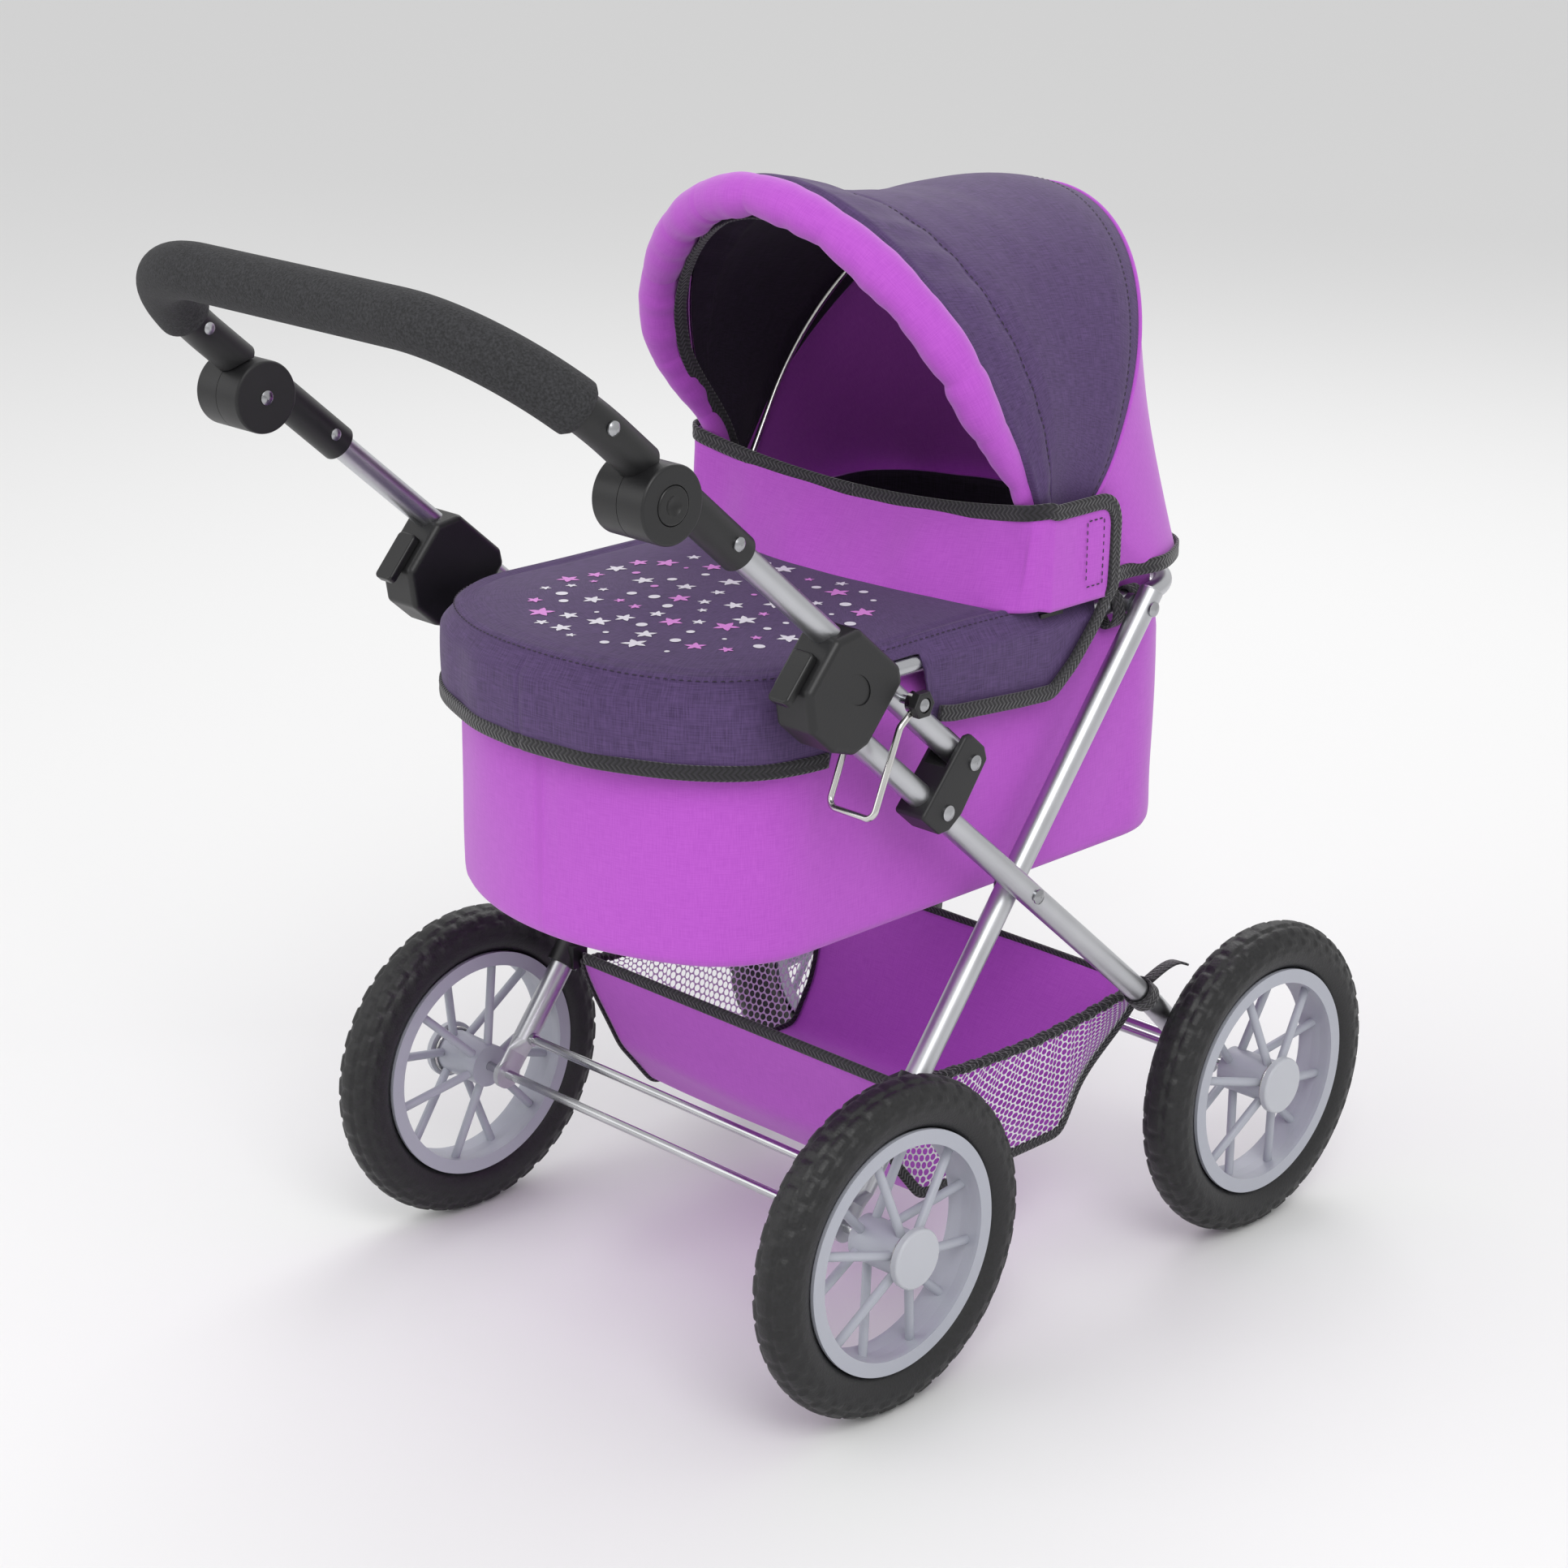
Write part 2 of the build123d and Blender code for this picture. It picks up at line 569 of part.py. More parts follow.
for name, sign in sides.items():
    y = sign * frame_y
    with BuildPart() as joint_lower:
        cross_bar(disc, sign * inner_face, sign * (frame_y - side_gap / 2), disc_radius)
        fillet(joint_lower.edges().group_by(Axis.Y)[0 if sign > 0 else -1], 1.6)
        bar(
            along(joint_s - sleeve_start, tube_spacing, y),
            along(joint_s - sleeve_reach, tube_spacing, y),
            sleeve_radius,
        )
        cross_bar(disc, sign * (frame_y - side_gap / 2), sign * (outer_face + 5), disc_radius + 0.7, Mode.SUBTRACT)
        bar(
            along(joint_s - socket, tube_spacing, y),
            along(joint_s - sleeve_reach - 1, tube_spacing, y),
            tube_radius,
            Mode.SUBTRACT,
        )
        cross_bar(lower_bolt_point, y - 20, y + 20, rivet_radius, Mode.SUBTRACT)
        cross_bar(disc, y - 30, y + 30, rivet_radius, Mode.SUBTRACT)
    save(joint_lower, f"joint_lower_{name}")

    with BuildPart() as joint_upper:
        with BuildLine(handle_plane) as sleeve_line:
            first = Line((joint_s + sleeve_start, y), (bend_s, y))
            JernArc(first @ 1, (1, 0), handle_bend, -sign * sleeve_turn)
        with BuildSketch(facing(sleeve_line.line @ 0, sleeve_line.line % 0)):
            Circle(sleeve_radius)
        sweep(path=sleeve_line.line)
        cross_bar(disc, sign * outer_face, sign * (frame_y + side_gap / 2), disc_radius)
        fillet(joint_upper.edges().group_by(Axis.Y)[-1 if sign > 0 else 0], 1.6)
        cross_bar(disc, sign * (frame_y + side_gap / 2), sign * (inner_face - 5), disc_radius + 0.7, Mode.SUBTRACT)
        with BuildLine(handle_plane) as bore_line:
            first = Line((joint_s + socket, y), (bend_s, y))
            JernArc(first @ 1, (1, 0), handle_bend, -sign * (sleeve_turn + 2))
        with BuildSketch(facing(bore_line.line @ 0, bore_line.line % 0)):
            Circle(tube_radius)
        sweep(path=bore_line.line, mode=Mode.SUBTRACT)
        cross_bar(upper_bolt_point, y - 20, y + 20, rivet_radius, Mode.SUBTRACT)
        cross_bar(disc, y - 30, y + 30, rivet_radius + running_gap, Mode.SUBTRACT)
        cross_bar(disc, sign * (outer_face - 9), sign * (outer_face + 1), button_radius + side_gap, Mode.SUBTRACT)
        for reach in (sleeve_radius, -sleeve_radius):  # flat seats for the bolt heads where the sleeve bends
            seat = sign * (frame_y - bend_shift + reach)
            cross_bar(upper_bolt_point, seat, seat + sign * copysign(3, reach), 4.0, Mode.SUBTRACT)
    save(joint_upper, f"joint_upper_{name}")

    with BuildPart() as joint_button:
        cross_bar(disc, sign * (outer_face - 5), sign * (outer_face + 0.8), button_radius)
        fillet(joint_button.edges().group_by(Axis.Y)[-1 if sign > 0 else 0], 1.2)
        with Locations((disc[0], sign * (outer_face + 7.5), disc[1])):
            Sphere(8.6, mode=Mode.SUBTRACT)
    save(joint_button, f"joint_button_{name}")

with BuildPart() as joint_pins:
    for sign in sides.values():
        cross_bar(disc, sign * inner_face, sign * (outer_face - 9.3), rivet_radius)
        domed_head(disc, sign * inner_face, -sign, 4.2, 2.2)
save(joint_pins, "joint_pins")

for name, (point, shift) in {"lower": (lower_bolt_point, 0), "upper": (upper_bolt_point, bend_shift)}.items():
    with BuildPart() as sleeve_bolts:
        for sign in sides.values():
            y = frame_y - shift
            rivet(point, y - sleeve_radius, y + sleeve_radius, sign, head=3.9)
    save(sleeve_bolts, f"{name}_sleeve_bolts")

with BuildPart() as handlebar:
    with BuildLine(handle_plane) as bow_line:
        FilletPolyline(
            (joint_s + socket, frame_y),
            (crossbar_s, frame_y),
            (crossbar_s, -frame_y),
            (joint_s + socket, -frame_y),
            radius=handle_bend,
        )
    with BuildSketch(facing(bow_line.line @ 0, bow_line.line % 0)):
        Circle(tube_radius)
        Circle(tube_radius - tube_wall, mode=Mode.SUBTRACT)
    sweep(path=bow_line.line)
    cross_bar(upper_bolt_point, -200, 200, rivet_radius, Mode.SUBTRACT)
save(handlebar, "handlebar")

turn = radians(grip_turn)
grip_point = (bend_s + handle_bend * sin(turn), frame_y - handle_bend * (1 - cos(turn)))

with BuildPart() as foam_grip:
    with BuildLine(handle_plane) as grip_line:
        first = JernArc(grip_point, (cos(turn), -sin(turn)), handle_bend, grip_turn - 90)
        middle = Line(first @ 1, (crossbar_s, -frame_y + handle_bend))
        JernArc(middle @ 1, (0, -1), handle_bend, grip_turn - 90)
    with BuildSketch(facing(grip_line.line @ 0, grip_line.line % 0)):
        Circle(grip_radius)
        Circle(tube_radius, mode=Mode.SUBTRACT)
    sweep(path=grip_line.line)
    for sign in sides.values():
        with BuildLine(handle_plane) as sleeve_line:
            first = Line((bend_s - 10, sign * frame_y), (bend_s, sign * frame_y))
            JernArc(first @ 1, (1, 0), handle_bend, -sign * sleeve_turn)
        with BuildSketch(facing(sleeve_line.line @ 0, sleeve_line.line % 0)):
            Circle(sleeve_radius)
        sweep(path=sleeve_line.line, mode=Mode.SUBTRACT)
save(foam_grip, "foam_grip")

# ---------------------------------------------------------------- carrycot


def end_arcs(half, corner, grow):
    """Radius of the flatter arc that closes a cot end, and the depth of the whole end."""
    turn = radians(corner_turn)
    middle = (half - corner * (1 - cos(turn))) / cos(turn)
    return middle + grow


def cot_outline(grow, half=cot_half):
    """Closed cot outline around the cot's middle line, drawn in the line being built."""
    foot = end_arcs(half, foot_corner, grow)
    head = end_arcs(half, head_corner, grow)
    y = half + grow
    x0 = cot_back - mid_x
    x1 = cot_front - mid_x
    turn = corner_turn
    a = JernArc((x0, -y), (-1, 0), foot_corner + grow, -turn)
    b = JernArc(a @ 1, a % 1, foot, -(180 - 2 * turn))
    c = JernArc(b @ 1, b % 1, foot_corner + grow, -turn)
    d = Line(c @ 1, (x1, y))
    e = JernArc(d @ 1, (1, 0), head_corner + grow, -turn)
    f = JernArc(e @ 1, e % 1, head, -(180 - 2 * turn))
    g = JernArc(f @ 1, f % 1, head_corner + grow, -turn)
    Line(g @ 1, a @ 0)


rim_grow = rim_half - cot_half

with BuildPart() as cot_rim:
    with BuildLine(Plane.XY.offset(rim_height)) as rim_line:
        cot_outline(rim_grow)
    with BuildSketch(facing(rim_line.line @ 0, rim_line.line % 0)):
        Circle(rim_tube_radius)
    sweep(path=rim_line.line)
save(cot_rim, "cot_rim")

with BuildPart() as cot_body:
    with BuildSketch(Plane.XY.offset(cot_floor)):
        with BuildLine():
            cot_outline(0)
        make_face()
    extrude(amount=cot_top - cot_floor)
    fillet(cot_body.edges().group_by(Axis.Z)[0], 12)
    with BuildSketch(Plane.XY.offset(cot_floor + cloth)):
        with BuildLine():
            cot_outline(-cloth)
        make_face()
    extrude(amount=cot_top - cot_floor, mode=Mode.SUBTRACT)
save(cot_body, "cot_body")

with BuildPart() as base_board:
    with BuildSketch(Plane.XY.offset(cot_floor + cloth)):
        with BuildLine():
            cot_outline(-cloth - 10)
        make_face()
    extrude(amount=board_thickness)
save(base_board, "base_board")

skirt_grow = cover_half - cot_half
notch = (rim_bolt[0] - 14, rim_bolt[0] + 58)

with BuildPart() as cot_cover:
    with BuildSketch(Plane.XY.offset(cover_hem)):
        with BuildLine():
            cot_outline(skirt_grow)
        make_face()
    extrude(amount=cover_top - cover_hem)
    fillet(cot_cover.edges().group_by(Axis.Z)[-1], 1.4)
    with BuildSketch(Plane.XY.offset(cover_hem)):
        with BuildLine():
            cot_outline(skirt_grow - 1.8)
        make_face()
    extrude(amount=cover_top - cover_hem - cloth, mode=Mode.SUBTRACT)
    with Locations((cover_front - mid_x, 0, cover_hem)):
        Box(400, 2 * rim_half - 4, 200, align=(Align.MIN, Align.CENTER, Align.CENTER), mode=Mode.SUBTRACT)
    with Locations((hood_x + 26 - mid_x, 0, cover_hem)):
        Box(400, 400, 200, align=(Align.MIN, Align.CENTER, Align.CENTER), mode=Mode.SUBTRACT)
    with Locations(((notch[0] + notch[1]) / 2, 0, cover_hem)):
        Box(notch[1] - notch[0], 400, 2 * (rim_height + 11.5 - cover_hem), mode=Mode.SUBTRACT)
save(cot_cover, "cot_cover")

flap_half = front_shell[0] + 1.2
with BuildPart() as wind_flap:
    with BuildSketch(Plane.XY.offset(cover_top + 0.3)):
        with BuildLine():
            FilletPolyline(
                (flap_back - mid_x, -flap_half),
                (flap_front - mid_x, -flap_half),
                (flap_front - mid_x, flap_half),
                (flap_back - mid_x, flap_half),
                radius=14,
            )
            FilletPolyline(
                (flap_back - mid_x, -flap_half - cloth),
                (flap_front - cloth - mid_x, -flap_half - cloth),
                (flap_front - cloth - mid_x, flap_half + cloth),
                (flap_back - mid_x, flap_half + cloth),
                radius=14 + cloth,
            )
            for sign in sides.values():
                Line((flap_back - mid_x, sign * flap_half), (flap_back - mid_x, sign * (flap_half + cloth)))
        make_face()
    extrude(amount=flap_top - cover_top)
save(wind_flap, "wind_flap")

with BuildPart() as rim_rivets:
    for sign in sides.values():
        rivet(rim_rivet, leg_y - tube_radius, leg_y + tube_radius, sign)
        washer_in = rim_half + rim_tube_radius + side_gap
        cross_bar(rim_rivet, sign * washer_in, sign * (leg_y - tube_radius), 6.5)
save(rim_rivets, "rim_rivets")

# ---------------------------------------------------------------- hood

hinge = (hood_x - mid_x, hood_z)
hinge_axis = Axis((hinge[0], 0, hinge[1]), (0, -1, 0))


def radial_plane(angle):
    """Plane through the hinge line at an angle above +X; its own y runs outwards from the hinge."""
    turn = radians(angle)
    out = Vector(cos(turn), 0, sin(turn))
    return Plane(origin=(hinge[0], 0, hinge[1]), x_dir=(0, 1, 0), z_dir=Vector(0, 1, 0).cross(out))


def arch(half, top, foot):
    """Closed arch outline: straight sides from the foot to the hood base, then half an ellipse."""
    left = Line((-half, foot), (-half, hood_base))
    EllipticalCenterArc((0, hood_base), half, top - hood_base, 0, arc_size=180)
    right = Line((half, hood_base), (half, foot))
    Line(left @ 0, right @ 1)


def arch_line(half, top, foot):
    """Open arch for a bow wire."""
    left = Line((-half, foot), (-half, hood_base))
    EllipticalCenterArc((0, hood_base), half, top - hood_base, 0, arc_size=180)
    right = Line((half, hood_base), (half, foot))


apex = 26.0  # the gores start this far from the hinge line
shell_foot = {"front": (front_shell, front_gore_angles), "rear": (rear_shell, rear_gore_angles)}

for name, ((half, top), (low, high)) in shell_foot.items():
    with BuildPart() as gore:
        with BuildSketch(radial_plane(low)):
            with BuildLine():
                arch(half, top, apex)
            make_face()
            with BuildLine():
                arch(half - shell, top - shell, apex - 10)
            make_face(mode=Mode.SUBTRACT)
        revolve(axis=hinge_axis, revolution_arc=high - low)
        if name == "front":
            with BuildSketch(radial_plane(roll_angles[0])):
                with BuildLine():
                    arch(half + roll_swell, top + roll_rise, hood_base - 12)
                make_face()
                with BuildLine():
                    arch(half - shell + roll_swell, top - shell + 1.0, hood_base - 30)
                make_face(mode=Mode.SUBTRACT)
            revolve(axis=hinge_axis, revolution_arc=roll_angles[1] - roll_angles[0])
    save(gore, f"hood_{name}")

bows = {"front": (front_bow, front_bow_angle), "rear": (rear_bow, rear_bow_angle)}
eye_radius = 6.0

for name, ((half, top), angle) in bows.items():
    with BuildPart() as bow:
        with BuildLine(radial_plane(angle)) as bow_run:
            arch_line(half, top, 4)
        with BuildSketch(facing(bow_run.line @ 0, bow_run.line % 0)):
            Circle(bow_wire)
        sweep(path=bow_run.line)
        for sign in sides.values():
            cross_bar(hinge, sign * (half - bow_wire - 0.3), sign * (half + bow_wire + 0.3), eye_radius)
        cross_bar(hinge, -200, 200, pin_radius + running_gap, Mode.SUBTRACT)
    save(bow, f"hood_{name}_bow")

back_low = cover_top + 3.0
back_angle = 53.6
back_grow = 9.0


def back_outline(grow):
    """Closed outline of the hood's lower back edge, round the head end of the cot."""
    head = end_arcs(cot_half, head_corner, grow)
    x0 = hinge[0] + apex
    x1 = cot_front - mid_x
    y = cot_half + grow
    near = Line((x0, -y), (x1, -y))
    a = JernArc(near @ 1, (1, 0), head_corner + grow, corner_turn)
    b = JernArc(a @ 1, a % 1, head, 180 - 2 * corner_turn)
    c = JernArc(b @ 1, b % 1, head_corner + grow, corner_turn)
    far = Line(c @ 1, (x0, y))
    Line(far @ 1, near @ 0)


def back_arch(half, top):
    """Closed arch outline matched edge for edge to the lower outline."""
    near = Line((-half, apex), (-half, hood_base))
    for k in range(3):
        EllipticalCenterArc((0, hood_base), half, top - hood_base, 180 - 60 * k, arc_size=-60)
    far = Line((half, hood_base), (half, apex))
    Line(far @ 1, near @ 0)


with BuildPart() as hood_back:
    for thinner, over, mode in ((0, 0, Mode.ADD), (shell, 1.0, Mode.SUBTRACT)):
        with BuildSketch(Plane.XY.offset(back_low - over)):
            with BuildLine():
                back_outline(back_grow - thinner)
            make_face()
        with BuildSketch(radial_plane(back_angle + over)):
            with BuildLine():
                back_arch(back_shell[0] - thinner, back_shell[1] - thinner)
            make_face()
        loft(ruled=True, mode=mode)
save(hood_back, "hood_back")

with BuildPart() as hood_hinges:
    plate = rear_bow[0] - bow_wire - side_gap
    for sign in sides.values():
        with Locations((hinge[0], sign * (rim_half - 2.5), rim_height)):
            Box(20, 2 * rim_tube_radius + 2, 2 * rim_tube_radius + 4)
        with BuildSketch(side(sign * (plate - 2))):
            with Locations(Location((hinge[0], (hinge[1] + rim_height) / 2, 0))):
                RectangleRounded(16, hinge[1] - rim_height + 18, 4)
        extrude(amount=2, both=True)
        cross_bar(hinge, sign * (plate - 2), sign * (front_bow[0] + bow_wire + 1.2), pin_radius)
        bar(
            (hinge[0] - 30, sign * rim_half, rim_height),
            (hinge[0] + 30, sign * rim_half, rim_height),
            rim_tube_radius,
            Mode.SUBTRACT,
        )
save(hood_hinges, "hood_hinges")

# ---------------------------------------------------------------- basket


def basket_section(level, inset, shrink):
    """Rounded rectangle of the basket at a level, drawn by its corners."""
    length = basket_front - basket_back - 2 * inset - 2 * shrink
    middle = (basket_front + basket_back) / 2 - mid_x
    width = 2 * (basket_half - inset * basket_taper / basket_slope - shrink)
    return middle, length, width


with BuildPart() as basket:
    for inset, level in ((0, basket_top), (basket_slope, basket_floor)):
        middle, length, width = basket_section(level, inset, 0)
        with BuildSketch(Plane.XY.offset(level)):
            with Locations((middle, 0)):
                RectangleRounded(length, width, 8)
    loft()
    for inset, level in ((0, basket_top + 0.01), (basket_slope, basket_floor + cloth)):
        middle, length, width = basket_section(level, inset, cloth)
        with BuildSketch(Plane.XY.offset(level)):
            with Locations((middle, 0)):
                RectangleRounded(length, width, 6)
    loft(mode=Mode.SUBTRACT)
save(basket, "basket")

clip_reach = 88.0
clip_half = 9.0

with BuildPart() as basket_clips:
    for sign in sides.values():
        y = sign * leg_y
        bar(up_leg(clip_reach - clip_half, y), up_leg(clip_reach + clip_half, y), tube_radius + 2.6)
        with Locations((up_leg(clip_reach)[0], sign * (leg_y - 9.5), up_leg(clip_reach)[1])):
            Box(12, 5, 15)
        bar(up_leg(clip_reach - 30, y), up_leg(clip_reach + 30, y), tube_radius, Mode.SUBTRACT)
save(basket_clips, "basket_clips")
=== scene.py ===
import json
import math

import bmesh
import bpy
import numpy as np
from mathutils import Matrix, Vector


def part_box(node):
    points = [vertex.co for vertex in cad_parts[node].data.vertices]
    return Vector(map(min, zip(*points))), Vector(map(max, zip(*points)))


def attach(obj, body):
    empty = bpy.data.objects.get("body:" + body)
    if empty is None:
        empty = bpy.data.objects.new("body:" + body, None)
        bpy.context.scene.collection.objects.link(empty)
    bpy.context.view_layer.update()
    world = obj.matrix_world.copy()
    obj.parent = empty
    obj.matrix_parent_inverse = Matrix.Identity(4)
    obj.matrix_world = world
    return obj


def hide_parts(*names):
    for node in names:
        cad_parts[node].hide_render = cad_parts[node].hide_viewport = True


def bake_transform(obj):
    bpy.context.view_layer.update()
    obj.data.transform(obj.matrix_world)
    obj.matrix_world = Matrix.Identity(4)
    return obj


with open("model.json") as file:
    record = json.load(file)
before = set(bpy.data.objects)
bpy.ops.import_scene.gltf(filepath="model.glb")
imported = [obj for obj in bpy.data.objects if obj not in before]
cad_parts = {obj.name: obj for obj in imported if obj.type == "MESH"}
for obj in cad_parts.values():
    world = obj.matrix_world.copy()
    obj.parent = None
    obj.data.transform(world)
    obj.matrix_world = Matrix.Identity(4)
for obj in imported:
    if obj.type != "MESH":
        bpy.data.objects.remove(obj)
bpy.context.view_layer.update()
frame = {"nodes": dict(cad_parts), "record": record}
nodes = frame["nodes"]
sides = {"left": 1, "right": -1}
wheelNames = ("front_left", "front_right", "rear_left", "rear_right")
# the frame's x of the rear axle; the sizes below are millimetres from that axle's line on the floor
axleX = (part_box("rear_axle")[0][0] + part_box("rear_axle")[1][0]) / 2
# side-view layout of the chassis: s runs up the tubes from the scissor pivot, n is square to them
chassis = {"pivotX": 137.17, "pivotZ": 279.5, "lean": 40.9, "handleN": 33.0, "armY": 166.8}
print("frame loaded:", len(nodes), "nodes")


def place(x, y, z):
    x, y, z = np.broadcast_arrays(np.asarray(x, float), np.asarray(y, float), np.asarray(z, float))
    return np.stack([x / 1000 + axleX, y / 1000, z / 1000], -1)


def along(s, n, y):
    lean = math.radians(chassis["lean"])
    x = chassis["pivotX"] - s * math.cos(lean) + n * math.sin(lean)
    z = chassis["pivotZ"] + s * math.sin(lean) + n * math.cos(lean)
    return place(x, y, z)


def unit(vectors):
    return vectors / np.maximum(np.linalg.norm(vectors, axis=-1, keepdims=True), 1e-9)


def ease(low, high, value):
    # 0 below low, 1 above high, smooth between
    t = np.clip((value - low) / (high - low), 0, 1)
    return t * t * (3 - 2 * t)


def runLength(points):
    # distance run along a polyline, from 0 at its first point
    return np.concatenate([[0], np.cumsum(np.linalg.norm(np.diff(points, axis=0), axis=-1))])


def resample(path, count):
    # even spacing along a polyline; columns after the third are carried along
    run = runLength(path[:, :3])
    wanted = np.linspace(0, run[-1], count)
    return np.stack([np.interp(wanted, run, path[:, k]) for k in range(path.shape[1])], -1)


def soften(values, times):
    # repeated 1-2-1 averages that leave both ends where they are
    values = values.copy()
    for _ in range(times):
        values[1:-1] = (values[:-2] + 2 * values[1:-1] + values[2:]) / 4
    return values


def buildPiece(name, points, quads, triangles=(), uv=None, body=None, slot=None, materials=(), thickness=0.0):
    mesh = bpy.data.meshes.new(name)
    faces = [tuple(face) for group in (quads, triangles) for face in np.asarray(group).tolist()]
    mesh.from_pydata(np.asarray(points).tolist(), [], faces)
    if uv is not None:
        layer = mesh.uv_layers.new(name="UVMap")
        corner = np.empty(len(mesh.loops), np.int32)
        mesh.loops.foreach_get("vertex_index", corner)
        layer.data.foreach_set("uv", np.asarray(uv, np.float32)[corner].ravel())
    mesh.validate()
    mesh.shade_smooth()
    piece = bpy.data.objects.new(name, mesh)
    bpy.context.scene.collection.objects.link(piece)
    for material in materials:
        mesh.materials.append(material)
    if thickness:
        shell = piece.modifiers.new("thickness", "SOLIDIFY")
        shell.thickness = thickness
        shell.offset = -1
        shell.use_even_offset = False
        shell.material_offset = len(materials) - 1
    if body:
        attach(piece, body)
    return piece


def gridFaces(rows, columns, closed=False, flip=False):
    # quads between neighbouring rows and columns; closed joins the last column to the first
    r, c = np.meshgrid(np.arange(rows - 1), np.arange(columns if closed else columns - 1), indexing="ij")
    d = (c + 1) % columns
    quads = np.stack([r * columns + c, r * columns + d, (r + 1) * columns + d, (r + 1) * columns + c], -1)
    quads = quads.reshape(-1, 4)
    return quads[:, ::-1] if flip else quads


def joinRows(rows, columns):
    # quads that close the last row on to the first
    last, first = (rows - 1) * columns + np.arange(columns), np.arange(columns)
    return np.stack([last, np.roll(last, -1), np.roll(first, -1), first], -1)


def gridUv(points):
    # lengths along the middle row and the middle column, in metres
    u = runLength(points[points.shape[0] // 2])
    v = runLength(points[:, points.shape[1] // 2])
    return np.stack(np.meshgrid(u, v), -1).reshape(-1, 2)


def gridPiece(name, points, closed=False, flip=False, capLast=False, **settings):
    rows, columns = points.shape[:2]
    flat, uv = points.reshape(-1, 3), gridUv(points)
    triangles = np.empty((0, 3), int)
    if capLast:
        flat = np.vstack([flat, points[-1].mean(0)])
        uv = np.vstack([uv, uv[-1]])
        ring = (rows - 1) * columns + np.arange(columns)
        triangles = np.stack([ring, np.roll(ring, -1), np.full(columns, rows * columns)], -1)
        triangles = triangles[:, ::-1] if flip else triangles
    return buildPiece(name, flat, gridFaces(rows, columns, closed, flip), triangles, uv, **settings)


def sweep(name, path, outward, section, ring=False, **settings):
    # section (m, 2) or (n, m, 2) in millimetres, as (across, outward), carried along the path
    tangent = unit(np.roll(path, -1, 0) - np.roll(path, 1, 0)) if ring else unit(np.gradient(path, axis=0))
    across = unit(np.cross(tangent, np.broadcast_to(outward, path.shape)))
    lift = unit(np.cross(across, tangent))
    section = np.broadcast_to(np.asarray(section, float) / 1000, (len(path), *np.shape(section)[-2:]))
    points = path[:, None] + section[..., :1] * across[:, None] + section[..., 1:] * lift[:, None]
    n, m = points.shape[:2]
    uv = np.stack(np.meshgrid(runLength(section[n // 2]), runLength(path)), -1).reshape(-1, 2)
    quads = gridFaces(n, m, True)
    flat, triangles = points.reshape(-1, 3), np.empty((0, 3), int)
    if ring:
        quads = np.vstack([quads, joinRows(n, m)])
    else:
        flat = np.vstack([flat, points[0].mean(0), points[-1].mean(0)])
        uv = np.vstack([uv, uv[0], uv[-1]])
        first, last = np.arange(m), (n - 1) * m + np.arange(m)
        triangles = np.vstack([
            np.stack([np.roll(first, -1), first, np.full(m, n * m)], -1),
            np.stack([last, np.roll(last, -1), np.full(m, n * m + 1)], -1),
        ])
    piece = buildPiece(name, flat, quads, triangles, uv, **settings)
    turnOutward(piece)
    return piece


def turnOutward(piece):
    work = bmesh.new()
    work.from_mesh(piece.data)
    bmesh.ops.recalc_face_normals(work, faces=work.faces)
    work.to_mesh(piece.data)
    work.free()


def circle(count, radius):
    turn = np.linspace(0, 2 * np.pi, count, endpoint=False)
    return np.stack([np.cos(turn), np.sin(turn)], -1) * radius


def tape(width, thickness):
    # flat tape with softly rounded edges, standing on the surface it is sewn to
    w, t = width / 2, thickness
    top = [(-w, 0.15 * t), (-w, 0.7 * t), (-w + 0.5, t), (-w / 2, t * 1.08), (0, t * 1.0), (w / 2, t * 1.08)]
    end = [(w - 0.5, t), (w, 0.7 * t), (w, 0.15 * t)]
    return np.array(top + end + [(w - 0.5, -0.3), (0, -0.3), (-w + 0.5, -0.3)])


def stitches(name, path, outward, length=3.0, gap=1.6, lift=0.25, **settings):
    # short threads laid end to end along a path, each a six-sided lozenge
    tangent = unit(np.gradient(path, axis=0))
    outward = unit(np.broadcast_to(outward, path.shape))
    run = runLength(path)
    centres = np.arange((length + gap) / 2000, run[-1] - length / 2000, (length + gap) / 1000)
    sample = lambda values: np.stack([np.interp(centres, run, values[:, k]) for k in range(3)], -1)
    middle, ahead, up = sample(path), unit(sample(tangent)), unit(sample(outward))
    side = np.cross(ahead, up)
    # half the length, width and thickness of a stitch, in metres
    a, b, c = length / 2000, 0.00045, 0.0004
    local = np.array([(-a, 0, -c), (-a * 0.6, b, 0), (-a * 0.6, -b, 0), (-a * 0.6, 0, c),
                      (a * 0.6, b, 0), (a * 0.6, -b, 0), (a * 0.6, 0, c), (a, 0, -c)])
    points = (middle[:, None] + up[:, None] * lift / 1000 + local[None, :, :1] * ahead[:, None]
              + local[None, :, 1:2] * side[:, None] + local[None, :, 2:] * up[:, None])
    offset = np.arange(len(middle))[:, None, None] * 8
    quads = (np.array([(1, 3, 6, 4), (3, 2, 5, 6)])[None] + offset).reshape(-1, 4)
    ends = np.array([(0, 3, 1), (0, 2, 3), (7, 4, 6), (7, 6, 5)])
    triangles = (ends[None] + offset).reshape(-1, 3)
    return buildPiece(name, points.reshape(-1, 3), quads, triangles, **settings)


def toLinear(hexColour):
    raw = np.array([int(hexColour[i : i + 2], 16) / 255 for i in (1, 3, 5)])
    linear = np.where(raw <= 0.04045, raw / 12.92, ((raw + 0.055) / 1.055) ** 2.4)
    return (*[float(c) for c in linear], 1.0)


